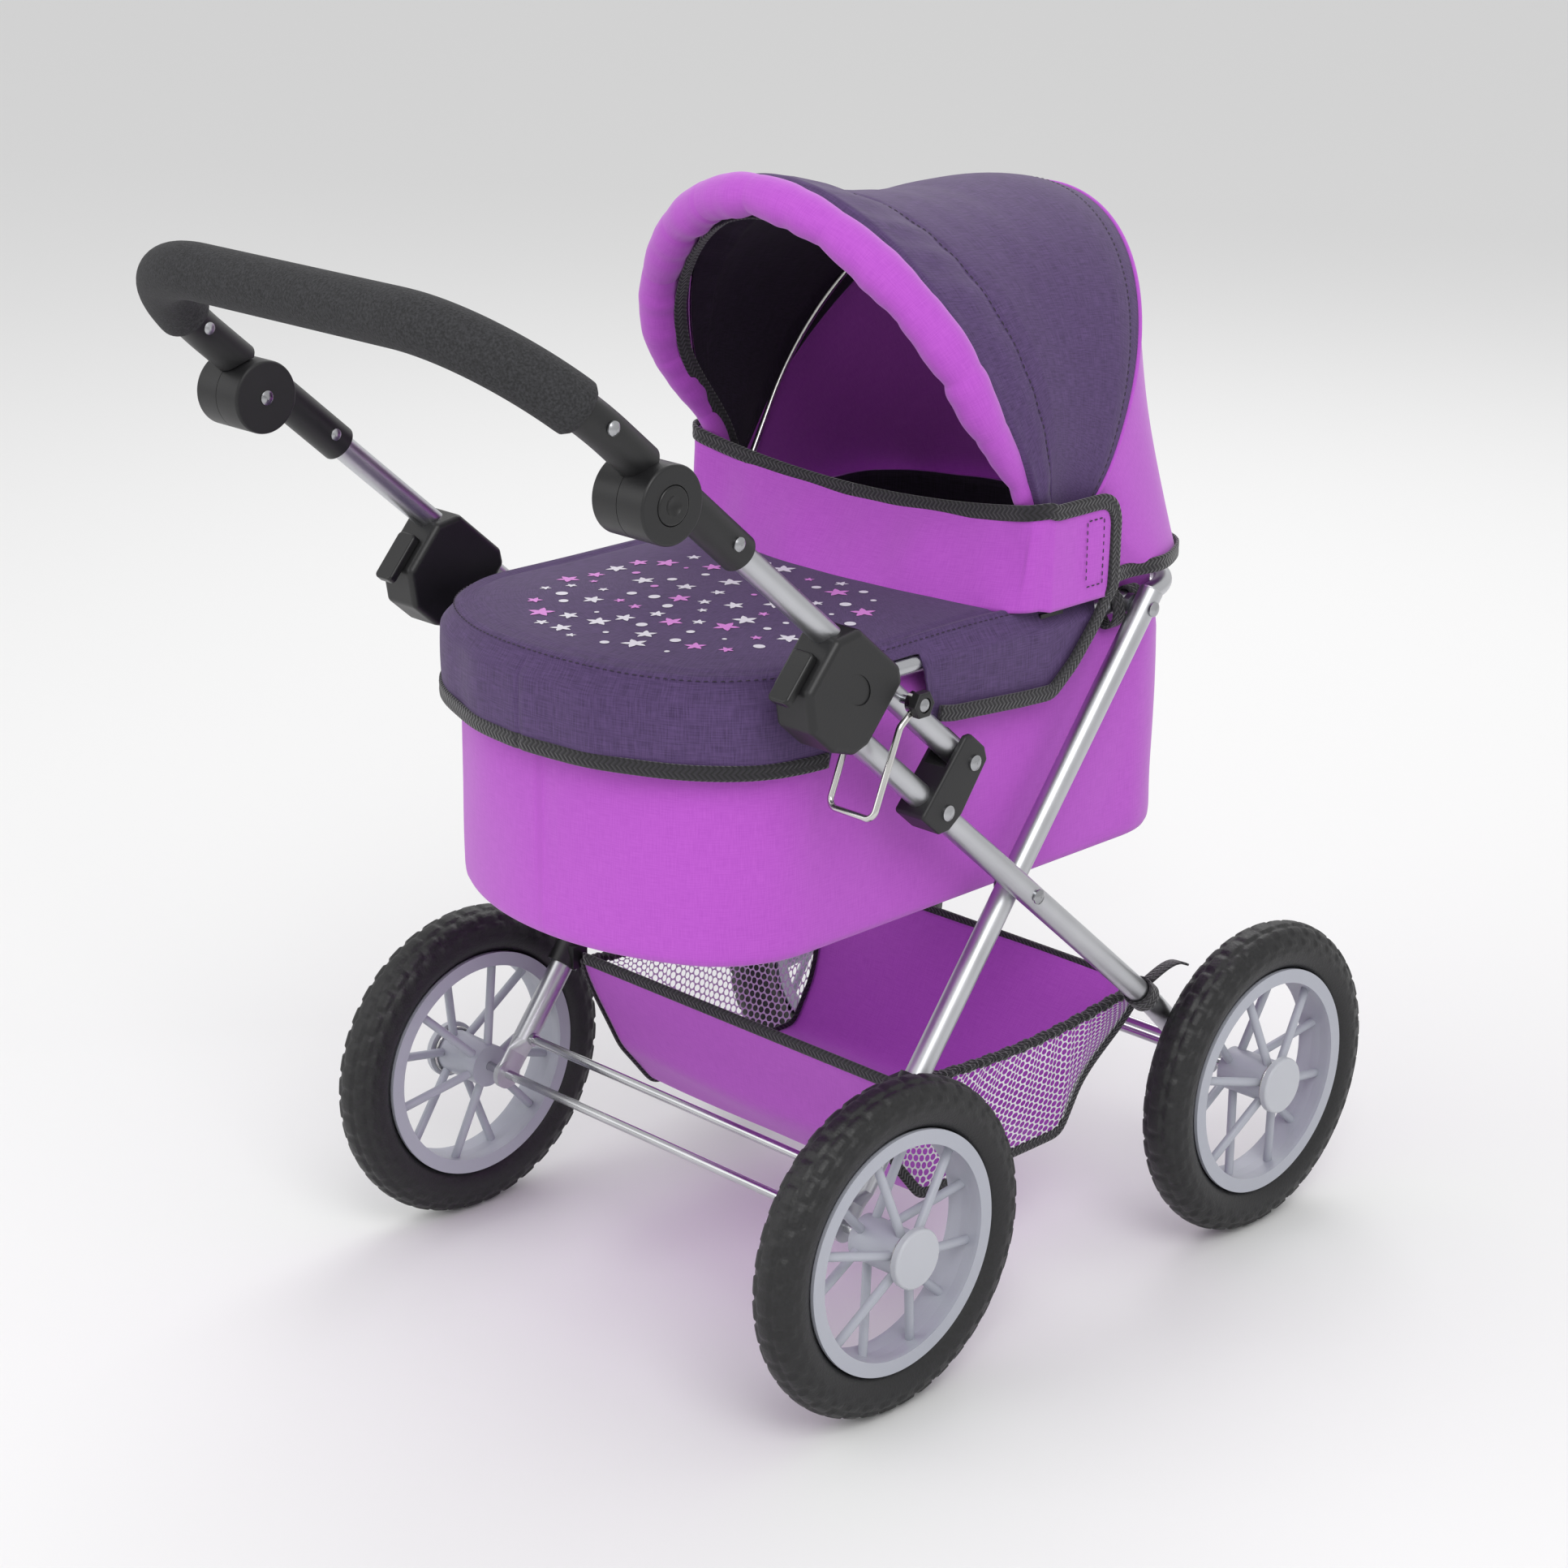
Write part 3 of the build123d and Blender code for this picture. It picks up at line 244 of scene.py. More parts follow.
def addNode(tree, kind, inputs=None, **settings):
    # inputs are values or other nodes' sockets
    node = tree.nodes.new(kind)
    for key, value in settings.items():
        setattr(node, key, value)
    for key, value in (inputs or {}).items():
        if isinstance(value, bpy.types.NodeSocket):
            tree.links.new(value, node.inputs[key])
        else:
            node.inputs[key].default_value = value
    return node


def startMaterial(name, **values):
    material = bpy.data.materials.new(name)
    material.use_nodes = True
    tree = material.node_tree
    shader = tree.nodes["Principled BSDF"]
    for key, value in values.items():
        shader.inputs[key.replace("_", " ")].default_value = value
    return material, tree, shader


def mixColours(tree, factor, first, second):
    mix = addNode(tree, "ShaderNodeMix", {0: factor}, data_type="RGBA")
    for socket, value in ((mix.inputs[6], first), (mix.inputs[7], second)):
        if isinstance(value, bpy.types.NodeSocket):
            tree.links.new(value, socket)
        else:
            socket.default_value = value
    return mix.outputs[2]


def remap(tree, value, low, high, toLow=0.0, toHigh=1.0):
    return addNode(tree, "ShaderNodeMapRange", {0: value, 1: low, 2: high, 3: toLow, 4: toHigh}).outputs[0]


def compute(tree, operation, first, second=0.0):
    return addNode(tree, "ShaderNodeMath", {0: first, 1: second}, operation=operation).outputs[0]


def noise(tree, where, scale, detail=2.0, stretch=None):
    if stretch:
        where = addNode(tree, "ShaderNodeMapping", {"Vector": where, "Scale": stretch}).outputs[0]
    return addNode(tree, "ShaderNodeTexNoise", {"Vector": where, "Scale": scale, "Detail": detail}).outputs[0]


def relief(tree, shader, height, distance, strength=1.0):
    bump = addNode(tree, "ShaderNodeBump", {"Height": height, "Distance": distance, "Strength": strength})
    tree.links.new(bump.outputs[0], shader.inputs["Normal"])


def metal(name, dark, light, roughness, grain=1500.0):
    # drawn metal: faint lines and uneven gloss left by the die, effect a soft broken highlight
    material, tree, shader = startMaterial(name, Metallic=1.0)
    where = addNode(tree, "ShaderNodeTexCoord").outputs["Object"]
    fine, cloud = noise(tree, where, grain, 1.0), noise(tree, where, 25.0)
    tree.links.new(mixColours(tree, cloud, toLinear(dark), toLinear(light)), shader.inputs["Base Color"])
    gloss = remap(tree, cloud, 0.3, 0.7, roughness - 0.05, roughness + 0.07)
    tree.links.new(gloss, shader.inputs["Roughness"])
    relief(tree, shader, fine, 0.00003, 0.4)
    return material


def moulding(name, dark, light, roughness, pebble, depth):
    # injection-moulded plastic: fine spark-eroded texture, effect a soft sheen that breaks up
    material, tree, shader = startMaterial(name)
    where = addNode(tree, "ShaderNodeTexCoord").outputs["Object"]
    grain, cloud = noise(tree, where, 1 / pebble, 2.0), noise(tree, where, 18.0, 3.0)
    tree.links.new(mixColours(tree, cloud, toLinear(dark), toLinear(light)), shader.inputs["Base Color"])
    gloss = remap(tree, cloud, 0.3, 0.7, roughness - 0.06, roughness + 0.08)
    tree.links.new(gloss, shader.inputs["Roughness"])
    relief(tree, shader, grain, depth)
    return material


def cloth(name, dark, light, thread, depth, sheen=0.25, spread=(0.38, 0.62)):
    # plain weave: warp and weft noise stretched along each thread; real threads are about a third of a
    # millimetre and are drawn coarser so that they show
    material, tree, shader = startMaterial(name, Roughness=0.82, Sheen_Weight=sheen, Sheen_Roughness=0.5)
    where = addNode(tree, "ShaderNodeTexCoord").outputs["UV"]
    warp = noise(tree, where, 1.0, 2.0, (1 / thread, 0.06 / thread, 1))
    weft = noise(tree, where, 1.0, 2.0, (0.06 / thread, 1 / thread, 1))
    weave = compute(tree, "MULTIPLY", compute(tree, "ADD", warp, weft), 0.5)
    fade = noise(tree, where, 14.0, 2.0)
    tone = mixColours(tree, remap(tree, weave, *spread), toLinear(dark), toLinear(light))
    faded = mixColours(tree, remap(tree, fade, 0.2, 0.9, 0, 0.25), tone, toLinear(dark))
    tree.links.new(faded, shader.inputs["Base Color"])
    relief(tree, shader, weave, depth)
    return material


def webbing(name, dark, light, pitch):
    # herringbone tape: chevrons meeting on the middle line, drawn at about twice the real pitch
    material, tree, shader = startMaterial(name, Roughness=0.8, Sheen_Weight=0.3)
    parts = addNode(tree, "ShaderNodeSeparateXYZ", {0: addNode(tree, "ShaderNodeTexCoord").outputs["UV"]})
    fold = compute(tree, "PINGPONG", parts.outputs[0], 0.003)
    slant = compute(tree, "MULTIPLY", compute(tree, "ADD", parts.outputs[1], fold), 2 * math.pi / pitch)
    wave = remap(tree, compute(tree, "SINE", slant), -1, 1)
    tree.links.new(mixColours(tree, wave, toLinear(dark), toLinear(light)), shader.inputs["Base Color"])
    relief(tree, shader, wave, 0.0004)
    return material


def netting(name, colour, cell):
    # warp-knitted honeycomb net: three sets of waves 60 degrees apart leave threads round six-sided holes
    material, tree, shader = startMaterial(name, Roughness=0.7)
    shader.inputs["Base Color"].default_value = toLinear(colour)
    where = addNode(tree, "ShaderNodeTexCoord").outputs["UV"]
    push = 4 * math.pi / (math.sqrt(3) * cell)
    total = None
    for turn in (0, 60, 120):
        a = math.radians(turn)
        heading = (math.cos(a) * push, math.sin(a) * push, 0)
        dot = addNode(tree, "ShaderNodeVectorMath", {0: where, 1: heading}, operation="DOT_PRODUCT")
        wave = compute(tree, "COSINE", dot.outputs["Value"])
        total = wave if total is None else compute(tree, "ADD", total, wave)
    tree.links.new(compute(tree, "LESS_THAN", total, -0.72), shader.inputs["Alpha"])
    return material


def foam(name, dark, light, pore, depth, roughness):
    # closed-cell foam: small round pores, effect a matt speckled skin
    material, tree, shader = startMaterial(name)
    where = addNode(tree, "ShaderNodeTexCoord").outputs["Object"]
    pores = addNode(tree, "ShaderNodeTexVoronoi", {"Vector": where, "Scale": 1 / pore}).outputs["Distance"]
    speckle = remap(tree, noise(tree, where, 0.8 / pore, 3.0), 0.35, 0.7)
    tree.links.new(mixColours(tree, speckle, toLinear(dark), toLinear(light)), shader.inputs["Base Color"])
    tree.links.new(remap(tree, speckle, 0, 1, roughness - 0.06, roughness + 0.06), shader.inputs["Roughness"])
    relief(tree, shader, pores, depth)
    return material


paint = {
    # extruded, brushed and clear anodised
    "satin_tube": metal("satin drawn aluminium", "#b4b5b9", "#cfd0d3", 0.34),
    # cold drawn and zinc plated
    "bright_rod": metal("bright drawn steel", "#a9aaad", "#d8d9db", 0.2),
    # spring wire, bent then plated
    "plated_wire": metal("nickel-plated wire", "#b9b8b5", "#dedddb", 0.18),
    # headed steel, polished by handling
    "rivet_steel": metal("domed rivet steel", "#8f9093", "#c4c5c8", 0.28),
    # bent aluminium tube
    "rim_tube": metal("satin rim aluminium", "#b1b2b6", "#cbccd0", 0.3),
    # fine matt texture
    "black_moulding": moulding("black moulded nylon", "#101011", "#1c1c1e", 0.42, 0.0009, 0.00006),
    # smoother than the housing
    "black_button": moulding("black button plastic", "#0d0d0e", "#171718", 0.35, 0.0008, 0.00004),
    # extruded foam sleeve
    "grip_foam": foam("speckled grip foam", "#1b1b1d", "#3a3a3d", 0.0011, 0.0003, 0.86),
    # moulded foam, satin skin
    "tyre_foam": foam("black tyre foam", "#0f0f10", "#1d1d1f", 0.0016, 0.00012, 0.5),
    # self-coloured
    "wheel_grey": moulding("pale grey wheel plastic", "#a4a7b2", "#b2b4bd", 0.4, 0.0012, 0.00004),
    # smoother, a little lighter
    "cap_grey": moulding("grey hub cap plastic", "#b2b4bc", "#c0c2c8", 0.32, 0.0012, 0.00003),
    # coated polyester, soft sheen
    "magenta_cloth": cloth("magenta oxford cloth", "#b04ac2", "#bb55cb", 0.0006, 0.00012),
    # mixed yarns
    "aubergine_cloth": cloth("heathered aubergine cloth", "#3d2952", "#5c4475", 0.0007, 0.0002, 0.08,
                             (0.36, 0.64)),
    # covered card
    "base_board_card": moulding("grey card board", "#7d7a76", "#8c8985", 0.8, 0.002, 0.00005),
}
trim = {
    # woven tape folded over the edge
    "binding": webbing("black herringbone binding", "#08070a", "#242128", 0.0034),
    # thin smooth lining cloth
    "lining": cloth("dark plum lining", "#1d1523", "#33273c", 0.0008, 0.0001, 0.1),
    # elastic in a gathered casing
    "elastic": webbing("black ruched elastic", "#0c0c0e", "#2a2a2e", 0.0026),
    # polyester net, hangs slack
    "net": netting("white honeycomb net", "#e9e8ec", 0.0052),
    # twisted polyester
    "thread": moulding("dark sewing thread", "#2a2030", "#3a2f42", 0.7, 0.0005, 0.00005),
    # ink lying on the weave
    "whiteInk": moulding("white screen print", "#ddd9e4", "#efecf3", 0.6, 0.0006, 0.00004),
    # the same ink, tinted
    "pinkInk": moulding("pink screen print", "#d77fd6", "#e59ae3", 0.6, 0.0006, 0.00004),
}
for entry in frame["record"]["subparts"]:
    nodes[entry["node"]].data.materials.clear()
    nodes[entry["node"]].data.materials.append(paint[entry["material_slot"]])
print("materials made")

tyre = {"circle": 87.2, "section": 15.3, "raise": 1.15, "blocks": 40, "wheelY": 186.35}


def makeTyre(name):
    # bump height h(around, section) = 1 inside a block, 0 in the grooves, with soft edges
    side = sides[name.split("_")[1]]
    around = np.linspace(0, 2 * np.pi, tyre["blocks"] * 10, endpoint=False)[:, None]
    section = np.linspace(-np.pi, np.pi, 72, endpoint=False)[None]
    reach = np.degrees(np.abs(section))

    def blocks(low, high, share, shift):
        wave = np.cos(tyre["blocks"] * around + shift)
        edge = math.cos(math.pi * share)
        raised = ease(edge - 0.18, edge + 0.18, wave)
        return raised * ease(low - 2.5, low + 2.5, reach) * (1 - ease(high - 2.5, high + 2.5, reach))

    # rows of blocks from the middle of the tread out to the side wall, angles in degrees round the section
    height = (blocks(-9, 17, 0.78, 0) + blocks(25, 48, 0.66, math.pi)
              + 0.7 * blocks(58, 72, 0.5, 0) + 0.5 * blocks(84, 90, 0.45, math.pi))
    radius = tyre["section"] + tyre["raise"] * height
    out = tyre["circle"] + radius * np.cos(section)
    y = side * tyre["wheelY"] + radius * np.sin(section) + 0 * around
    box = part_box("tyre_" + name)
    middle = [(box[0][k] + box[1][k]) / 2 for k in (0, 2)]
    x, z = middle[0] + out / 1000 * np.cos(around), middle[1] + out / 1000 * np.sin(around)
    points = np.stack([x, y / 1000, z], -1)
    rows, columns = points.shape[:2]
    quads = np.vstack([gridFaces(rows, columns, True), joinRows(rows, columns)])
    piece = buildPiece("tread_tyre_" + name, points.reshape(-1, 3), quads, body="wheel_" + name + "_turn",
                       slot="tyre_foam", materials=[paint["tyre_foam"]])
    turnOutward(piece)
    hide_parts("tyre_" + name)


for name in wheelNames:
    makeTyre(name)
print("tyres made")

grip = {"radius": 15.5, "crossbar": 548.0, "bend": 85.0, "start": 16.5}


def makeGrip():
    turn = np.radians(np.linspace(grip["start"], 90, 24))
    inner = chassis["armY"] - grip["bend"]
    s = grip["crossbar"] - grip["bend"] + grip["bend"] * np.sin(turn)
    y = inner + grip["bend"] * np.cos(turn)
    flat = np.stack([np.concatenate([s, s[::-1]]), np.concatenate([y, -y[::-1]])], -1)
    line = resample(flat, 150)
    path = along(line[:, 0], chassis["handleN"], line[:, 1])
    lean = math.radians(chassis["lean"])
    count = len(path)
    # rounded ends: the skin closes onto the bar over the last few millimetres
    fromEnd = np.minimum(np.arange(count), np.arange(count)[::-1]) * np.linalg.norm(path[1] - path[0]) * 1000
    radius = grip["radius"] - 2.2 * (1 - ease(0, 3.0, fromEnd))
    section = circle(40, 1.0)[None] * radius[:, None, None]
    piece = sweep("soft_foam_grip", path, (math.sin(lean), 0, math.cos(lean)), section,
                  body="grip", slot="grip_foam", materials=[paint["grip_foam"]])
    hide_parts("foam_grip")


makeGrip()
print("grip made")

# corners are the centre's x and y and the radius, ends are the centre's x and the radius
cot = {"half": 131.0, "footCorner": (-11.0, 56.0, 75.0), "footEnd": (86.0, 187.0),
       "headCorner": (272.0, 71.0, 60.0), "headEnd": (149.0, 202.0), "floor": 270.0, "floorIn": 9.0,
       "seamY": -9.0, "headLift": 20.0}


def halfOutline():
    # foot centre to head centre on the left side: end arc, corner arc, straight side, corner arc, end arc
    def arc(cx, cy, radius, a, b, n):
        t = np.radians(np.linspace(a, b, n))
        return np.stack([cx + radius * np.cos(t), cy + radius * np.sin(t), np.cos(t), np.sin(t)], -1)

    side = np.linspace(cot["footCorner"][0], cot["headCorner"][0], 60)
    straight = np.stack([side, np.full(60, cot["half"]), np.zeros(60), np.ones(60)], -1)
    foot, head = cot["footCorner"], cot["headCorner"]
    return np.vstack([
        arc(cot["footEnd"][0], 0, cot["footEnd"][1], 180, 150, 30)[:-1],
        arc(foot[0], foot[1], foot[2], 150, 90, 30)[:-1], straight,
        arc(head[0], head[1], head[2], 90, 30, 30)[1:],
        arc(cot["headEnd"][0], 0, cot["headEnd"][1], 30, 0, 30)[1:],
    ])


def cotOutline(count):
    # closed loop from the foot centre along the left side and back along the right: x, y, normal x, normal y
    half = halfOutline()
    mirror = half[::-1][1:-1] * (1, -1, 1, -1)
    loop = np.vstack([half, mirror, half[:1]])
    run = runLength(loop[:, :2])
    wanted = np.linspace(0, run[-1], count, endpoint=False)
    return np.stack([np.interp(wanted, run, loop[:, k]) for k in range(4)], -1), wanted


def makeCot():
    outline, run = cotOutline(360)
    x0, y0, nx, ny = (outline[None, :, k] for k in range(4))
    # profile from the bottom edge to the top: (outward, height)
    profile = np.array([(-9, 270), (-5, 270.6), (-2, 272.5), (-0.5, 275.5), (0, 281), (0, 300), (0, 330),
                        (0, 360), (-0.2, 385), (-0.6, 400), (-2, 410), (-5.5, 419), (-6.5, 428), (-7, 438)])
    step, share = np.linspace(0, 1, 46), np.linspace(0, 1, len(profile))
    out, up = np.interp(step, share, profile[:, 0]), np.interp(step, share, profile[:, 1])
    # slack in the cloth: long shallow waves and a few diagonal drags, w = a sin(k run + m z)
    r, h = run[None], up[:, None]
    slack = ease(275, 320, h) * (0.9 * np.sin(r / 41 + h / 60) + 0.6 * np.sin(r / 23 - h / 47 + 1.3)
                                 + 0.35 * np.sin(r / 11 + h / 25 + 0.7))
    pull = 0.7 * np.sin(r / 7.5) * ease(385, 425, h)
    # the upright seam at the foot is a narrow groove
    seam = -1.1 * np.exp(-((y0 - cot["seamY"]) / 1.3) ** 2) * (x0 < 0) * ease(270, 280, h)
    grow = out[:, None] + slack + pull + seam
    # inside the rim the cloth stands higher at the head end, behind the hood's back panel
    headLift = cot["headLift"] * ease(425, 438, h) * ease(195, 230, x0)
    wall = place(x0 + grow * nx, y0 + grow * ny, h + headLift)
    # the bottom panel draws in to the middle
    shrink = np.linspace(1, 0.04, 12)[1:, None]
    middle = outline[:, 0].mean()
    floorX = middle + (x0 - cot["floorIn"] * nx - middle) * shrink
    floor = place(floorX, (y0 - cot["floorIn"] * ny) * shrink, cot["floor"])
    piece = gridPiece("soft_cot_body", np.vstack([wall[::-1], floor]), closed=True, capLast=True, body="cot",
                      slot="magenta_cloth", materials=[paint["magenta_cloth"], trim["lining"]],
                      thickness=0.0022)
    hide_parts("cot_body")


makeCot()
print("carrycot made")

apron = {"top": 446.0, "lip": 3.0, "grow": 10.5, "band": 9.0, "centreX": 138.0, "end": 226.0}


def hemHeight(x):
    # the skirt hangs to 388, is cut away behind the lock box, then sweeps up under the flap's rear edge
    stations = [-200, -8, -1, 68, 76, 90, 150, 177, 196, 216, 226]
    return np.interp(x, stations, [388, 388, 436, 436, 396, 393, 388, 386.5, 401, 423, 438])


def apronOutline(count):
    # open loop from the right side's rear end round the foot to the left side's rear end
    half = halfOutline()
    half = np.vstack([half[half[:, 0] < apron["end"]], [(apron["end"], cot["half"], 0, 1)]])
    loop = np.vstack([half[::-1] * (1, -1, 1, -1), half[1:]])
    run = runLength(loop[:, :2])
    # even steps, and one more at the middle of the foot
    wanted = np.sort(np.append(np.linspace(0, run[-1], count), run[-1] / 2))
    return np.stack([np.interp(wanted, run, loop[:, k]) for k in range(4)], -1), wanted


def apronTop(x, y):
    # shallow dome, sagging between the sides
    dome = apron["top"] - 3.2 * (y / 140) ** 2 - 2.2 * ((x - 60) / 160) ** 2
    return dome + 0.8 * np.sin(x / 23) * np.cos(y / 31)


def makeApron():
    outline, run = apronOutline(420)
    x0, y0, nx, ny = (outline[None, :, k] for k in range(4))
    lip, full = apron["lip"], apron["grow"]
    # top: rays from the middle of the flap's root to a rounded edge with a raised seam
    edgeX, edgeY = x0 + lip * nx, y0 + lip * ny
    share = np.linspace(0, 1, 44)[:, None] ** 0.85
    cx = np.maximum(x0, apron["centreX"])
    tx = cx + (edgeX - cx) * share
    ty = edgeY * share
    fromEdge = np.hypot(tx - edgeX, ty - edgeY)
    tz = apronTop(tx, ty) + 1.5 * np.exp(-((fromEdge - 3.5) / 2.6) ** 2)
    tz = tz - 1.4 * np.exp(-((fromEdge - 9) / 2.4) ** 2) - 1.5 * ease(4, 0, fromEdge)
    # skirt: puffs out under the seam and drops to the hem
    topZ = tz[-1:]
    depth = topZ - hemHeight(x0)
    fall = depth * np.linspace(0, 1, 34)[1:, None]
    wave = (np.sin(run / 13.5) * 0.7 + np.sin(run / 7.2 + 1.1) * 0.5 + np.sin(run / 29 + 0.4))[None]
    puff = lip + (full - lip) * ease(0, 14, fall) + 1.5 * np.sin(np.pi * np.clip(fall / 58, 0, 1))
    puff = puff + 0.95 * wave * ease(3, 16, fall) * (1 - 0.7 * ease(44, 58, fall)) * ease(4, 26, depth)
    puff = puff - 0.9 * np.exp(-(y0 / 1.4) ** 2) * (x0 < 0) * ease(2, 8, fall)
    # the side walls run flatter behind the lock boxes
    calm = ease(-22, 0, x0)
    puff = puff * (1 - calm) + np.minimum(puff, full + 0.8) * calm
    points = np.vstack([place(tx, ty, tz), place(x0 + puff * nx, y0 + puff * ny, topZ - fall)])
    piece = gridPiece("soft_cot_apron", points, body="cot", slot="aubergine_cloth",
                      materials=[paint["aubergine_cloth"], trim["lining"]], thickness=0.0018)
    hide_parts("cot_cover")
    # tape along the hem round the foot, then stitches along the top seam
    normal = place(nx, ny, 0)[0] - place(0, 0, 0)
    hemPath = points[-1] + (0, 0, (apron["band"] / 2 - 1) / 1000)
    hem = resample(np.hstack([hemPath, normal])[outline[:, 0] < -9], 260)
    sweep("binding_apron_hem", hem[:, :3], hem[:, 3:], tape(apron["band"], 2.0), body="cot",
          slot="black_moulding", materials=[trim["binding"]])
    seam = place(edgeX, edgeY, topZ + 0.2)[0, 20:-20]
    stitches("stitch_apron_seam", seam, normal[20:-20] + (0, 0, 0.8), body="cot", materials=[trim["thread"]])


makeApron()
print("apron made")

flap = {"rootX": 150.0, "rootDip": 25.0, "topX": 157.0, "middle": 490.0, "side": 501.0, "wall": 148.2,
        "corner": 14.0, "rear": 227.0, "tab": (15, 40), "tabZ": 471.0}


def flapGrid():
    # plan of the root: along the sides, then a shallow curve across
    # plan of the top edge: straight across with round corners
    wall, corner = flap["wall"], flap["corner"]
    turn = np.radians(np.linspace(90, 180, 14))
    cx, cy = flap["topX"] + corner, wall - corner
    arc = np.stack([cx + corner * np.cos(turn), cy + corner * np.sin(turn)], -1)
    side = np.stack([np.linspace(flap["rear"], cx, 24)[:-1], np.full(23, wall)], -1)
    across = np.stack([np.full(40, flap["topX"]), np.linspace(cy, 0, 40)], -1)[1:]
    half = np.vstack([side, arc, across])
    top = np.vstack([half, half[::-1][1:] * (1, -1)])
    x, y = top[:, 0], np.abs(top[:, 1])
    isSide = x > cx - 1e-6
    rootX = flap["rootX"] - flap["rootDip"] * (1 - (y / 140) ** 2) + (x - flap["topX"])
    bottomX = np.where(isSide, x, rootX)
    bottomY = top[:, 1] * np.where(isSide, (wall - 1.2) / wall, 143 / wall)
    bottomZ = np.where(isSide, 441.0, 442.0)
    topZ = np.where(isSide, flap["side"], flap["middle"] + (flap["side"] - flap["middle"]) * (y / cy) ** 2)
    # the upper corner at the rear end is rounded
    fromCorner = np.clip(x - (flap["rear"] - corner), 0, corner) / corner
    topZ = topZ - corner * (1 - np.sqrt(np.clip(1 - fromCorner ** 2, 0, 1)))
    return top, bottomX, bottomY, bottomZ, topZ


def makeFlap():
    top, bottomX, bottomY, bottomZ, topZ = flapGrid()
    share = np.linspace(0, 1, 26)[:, None]
    x = bottomX + (top[:, 0] - bottomX) * share
    y = bottomY + (top[:, 1] - bottomY) * share
    z = bottomZ + (topZ - bottomZ) * share
    # the cloth hollows a little between its edges: w = sin(pi v) times slow waves
    step = np.arange(len(top))
    hollow = np.sin(np.pi * share) * (2.4 * np.sin(step / 5.5) + 1.0 * np.cos(step / 2.3))
    front = top[:, 0] < flap["topX"] + 2
    x = x + hollow * front
    y = y + 0.35 * hollow * ~front * np.sign(top[:, 1])
    points = place(x, y, z)
    piece = gridPiece("soft_wind_flap", points, body="cot", slot="magenta_cloth",
                      materials=[paint["magenta_cloth"]], thickness=0.0016)
    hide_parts("wind_flap")
    # one tape runs along the top edge, down the rear edges and forward along the apron's patches
    plan = unit(np.gradient(top, axis=0))
    normal = np.stack([plan[:, 1], -plan[:, 0], 0 * plan[:, 0]], -1)
    if normal[len(normal) // 2, 0] > 0:
        normal = -normal
    count = len(top) // 2 + 1
    for name, sign in sides.items():
        hemX = np.linspace(flap["rear"] - 2, 78, 60)
        lower = place(hemX, sign * (cot["half"] + apron["grow"] + 3.6), hemHeight(hemX) + 4)
        down = place(flap["rear"] - 0.5, sign * flap["wall"], np.linspace(484, 446, 12))
        path = np.vstack([lower[::-1], down[::-1], points[-1][::sign][:count]])
        face = np.vstack([np.tile((0, sign, 0), (len(lower) + len(down), 1)), normal[::sign][:count]])
        line = soften(resample(np.hstack([path, face]), 300), 6)
        sweep("binding_flap_" + name, line[:, :3] - line[:, 3:] * 0.0005, line[:, 3:], tape(9.5, 2.0),
              body="cot", slot="black_moulding", materials=[trim["binding"]])
        # the stitched pocket tab on the side wall
        w, h = flap["tab"]
        corners = np.array([(-w, -h), (w, -h), (w, h), (-w, h), (-w, -h)]) / 2
        box = resample(corners + (flap["rear"] - 19, flap["tabZ"]), 90)
        path = place(box[:, 0], sign * (flap["wall"] + 0.4), box[:, 1])
        stitches("stitch_flap_tab_" + name, path, (0, sign, 0), body="cot", materials=[trim["thread"]])


makeFlap()
print("flap made")

# x and z are the hinge, angles are degrees about it from straight back, ribs and crowns pair up
hood = {"x": 184.0, "z": 459.0, "half": 143.5, "root": 13.0, "rearSeam": 53.6, "frontEdge": 112.2,
        "stitched": {"front": 100.6, "rear": 57.4}, "headX": 205.0, "backLow": 446.0,
        "ribs": [53.6, 57, 63, 70, 78, 86, 94, 101, 106, 112.2],
        "crowns": [247.4, 243.4, 233.7, 222.1, 212.1, 208.3, 210.5, 217.2, 228.3, 247.3]}


def archPoint(angle, share, crown, straight, half, root, centre, power=2.0):
    # share 0..1 runs up one side, over and down the other: a straight part, then half a superellipse
    leg = 0.16
    up = np.clip(share / leg, 0, 1)
    down = np.clip((1 - share) / leg, 0, 1)
    turn = np.clip((share - leg) / (1 - 2 * leg), 0, 1) * np.pi
    c, s = np.cos(turn), np.sin(turn)
    y = half * np.sign(c) * np.abs(c) ** (2 / power)
    r = root + (straight - root) * np.minimum(up, down) + (crown - straight) * np.abs(s) ** (2 / power)
    a = np.radians(angle)
    return place(centre[0] + r * np.cos(a), y, centre[1] + r * np.sin(a)), r, y


roll = {"x": 169.4, "angle": 113.7, "straight": 54.0, "crown": 238.8, "half": 145.0, "power": 1.9,
        "radius": 12.6, "root": 24.0, "length": 620.0, "footIn": 15.0, "footBack": 17.0, "pinchSide": math.pi}


def rollPath(share):
    # the roll's centre line; its feet draw in to pass inside the wind flap
    path, r, y = archPoint(roll["angle"], share, roll["crown"], roll["straight"], roll["half"], roll["root"],
                           (roll["x"], hood["z"]), roll["power"])
    path[..., 1] -= np.sign(y) * roll["footIn"] * (1 - ease(45, 165, r)) / 1000
    path[..., 0] += roll["footBack"] * (1 - ease(45, 125, r)) / 1000
    return path


def feetTaper(run, least):
    # 1 along the middle of the roll, least at its two feet
    return least + (1 - least) * ease(20, 130, run) * (1 - ease(490, 600, run))


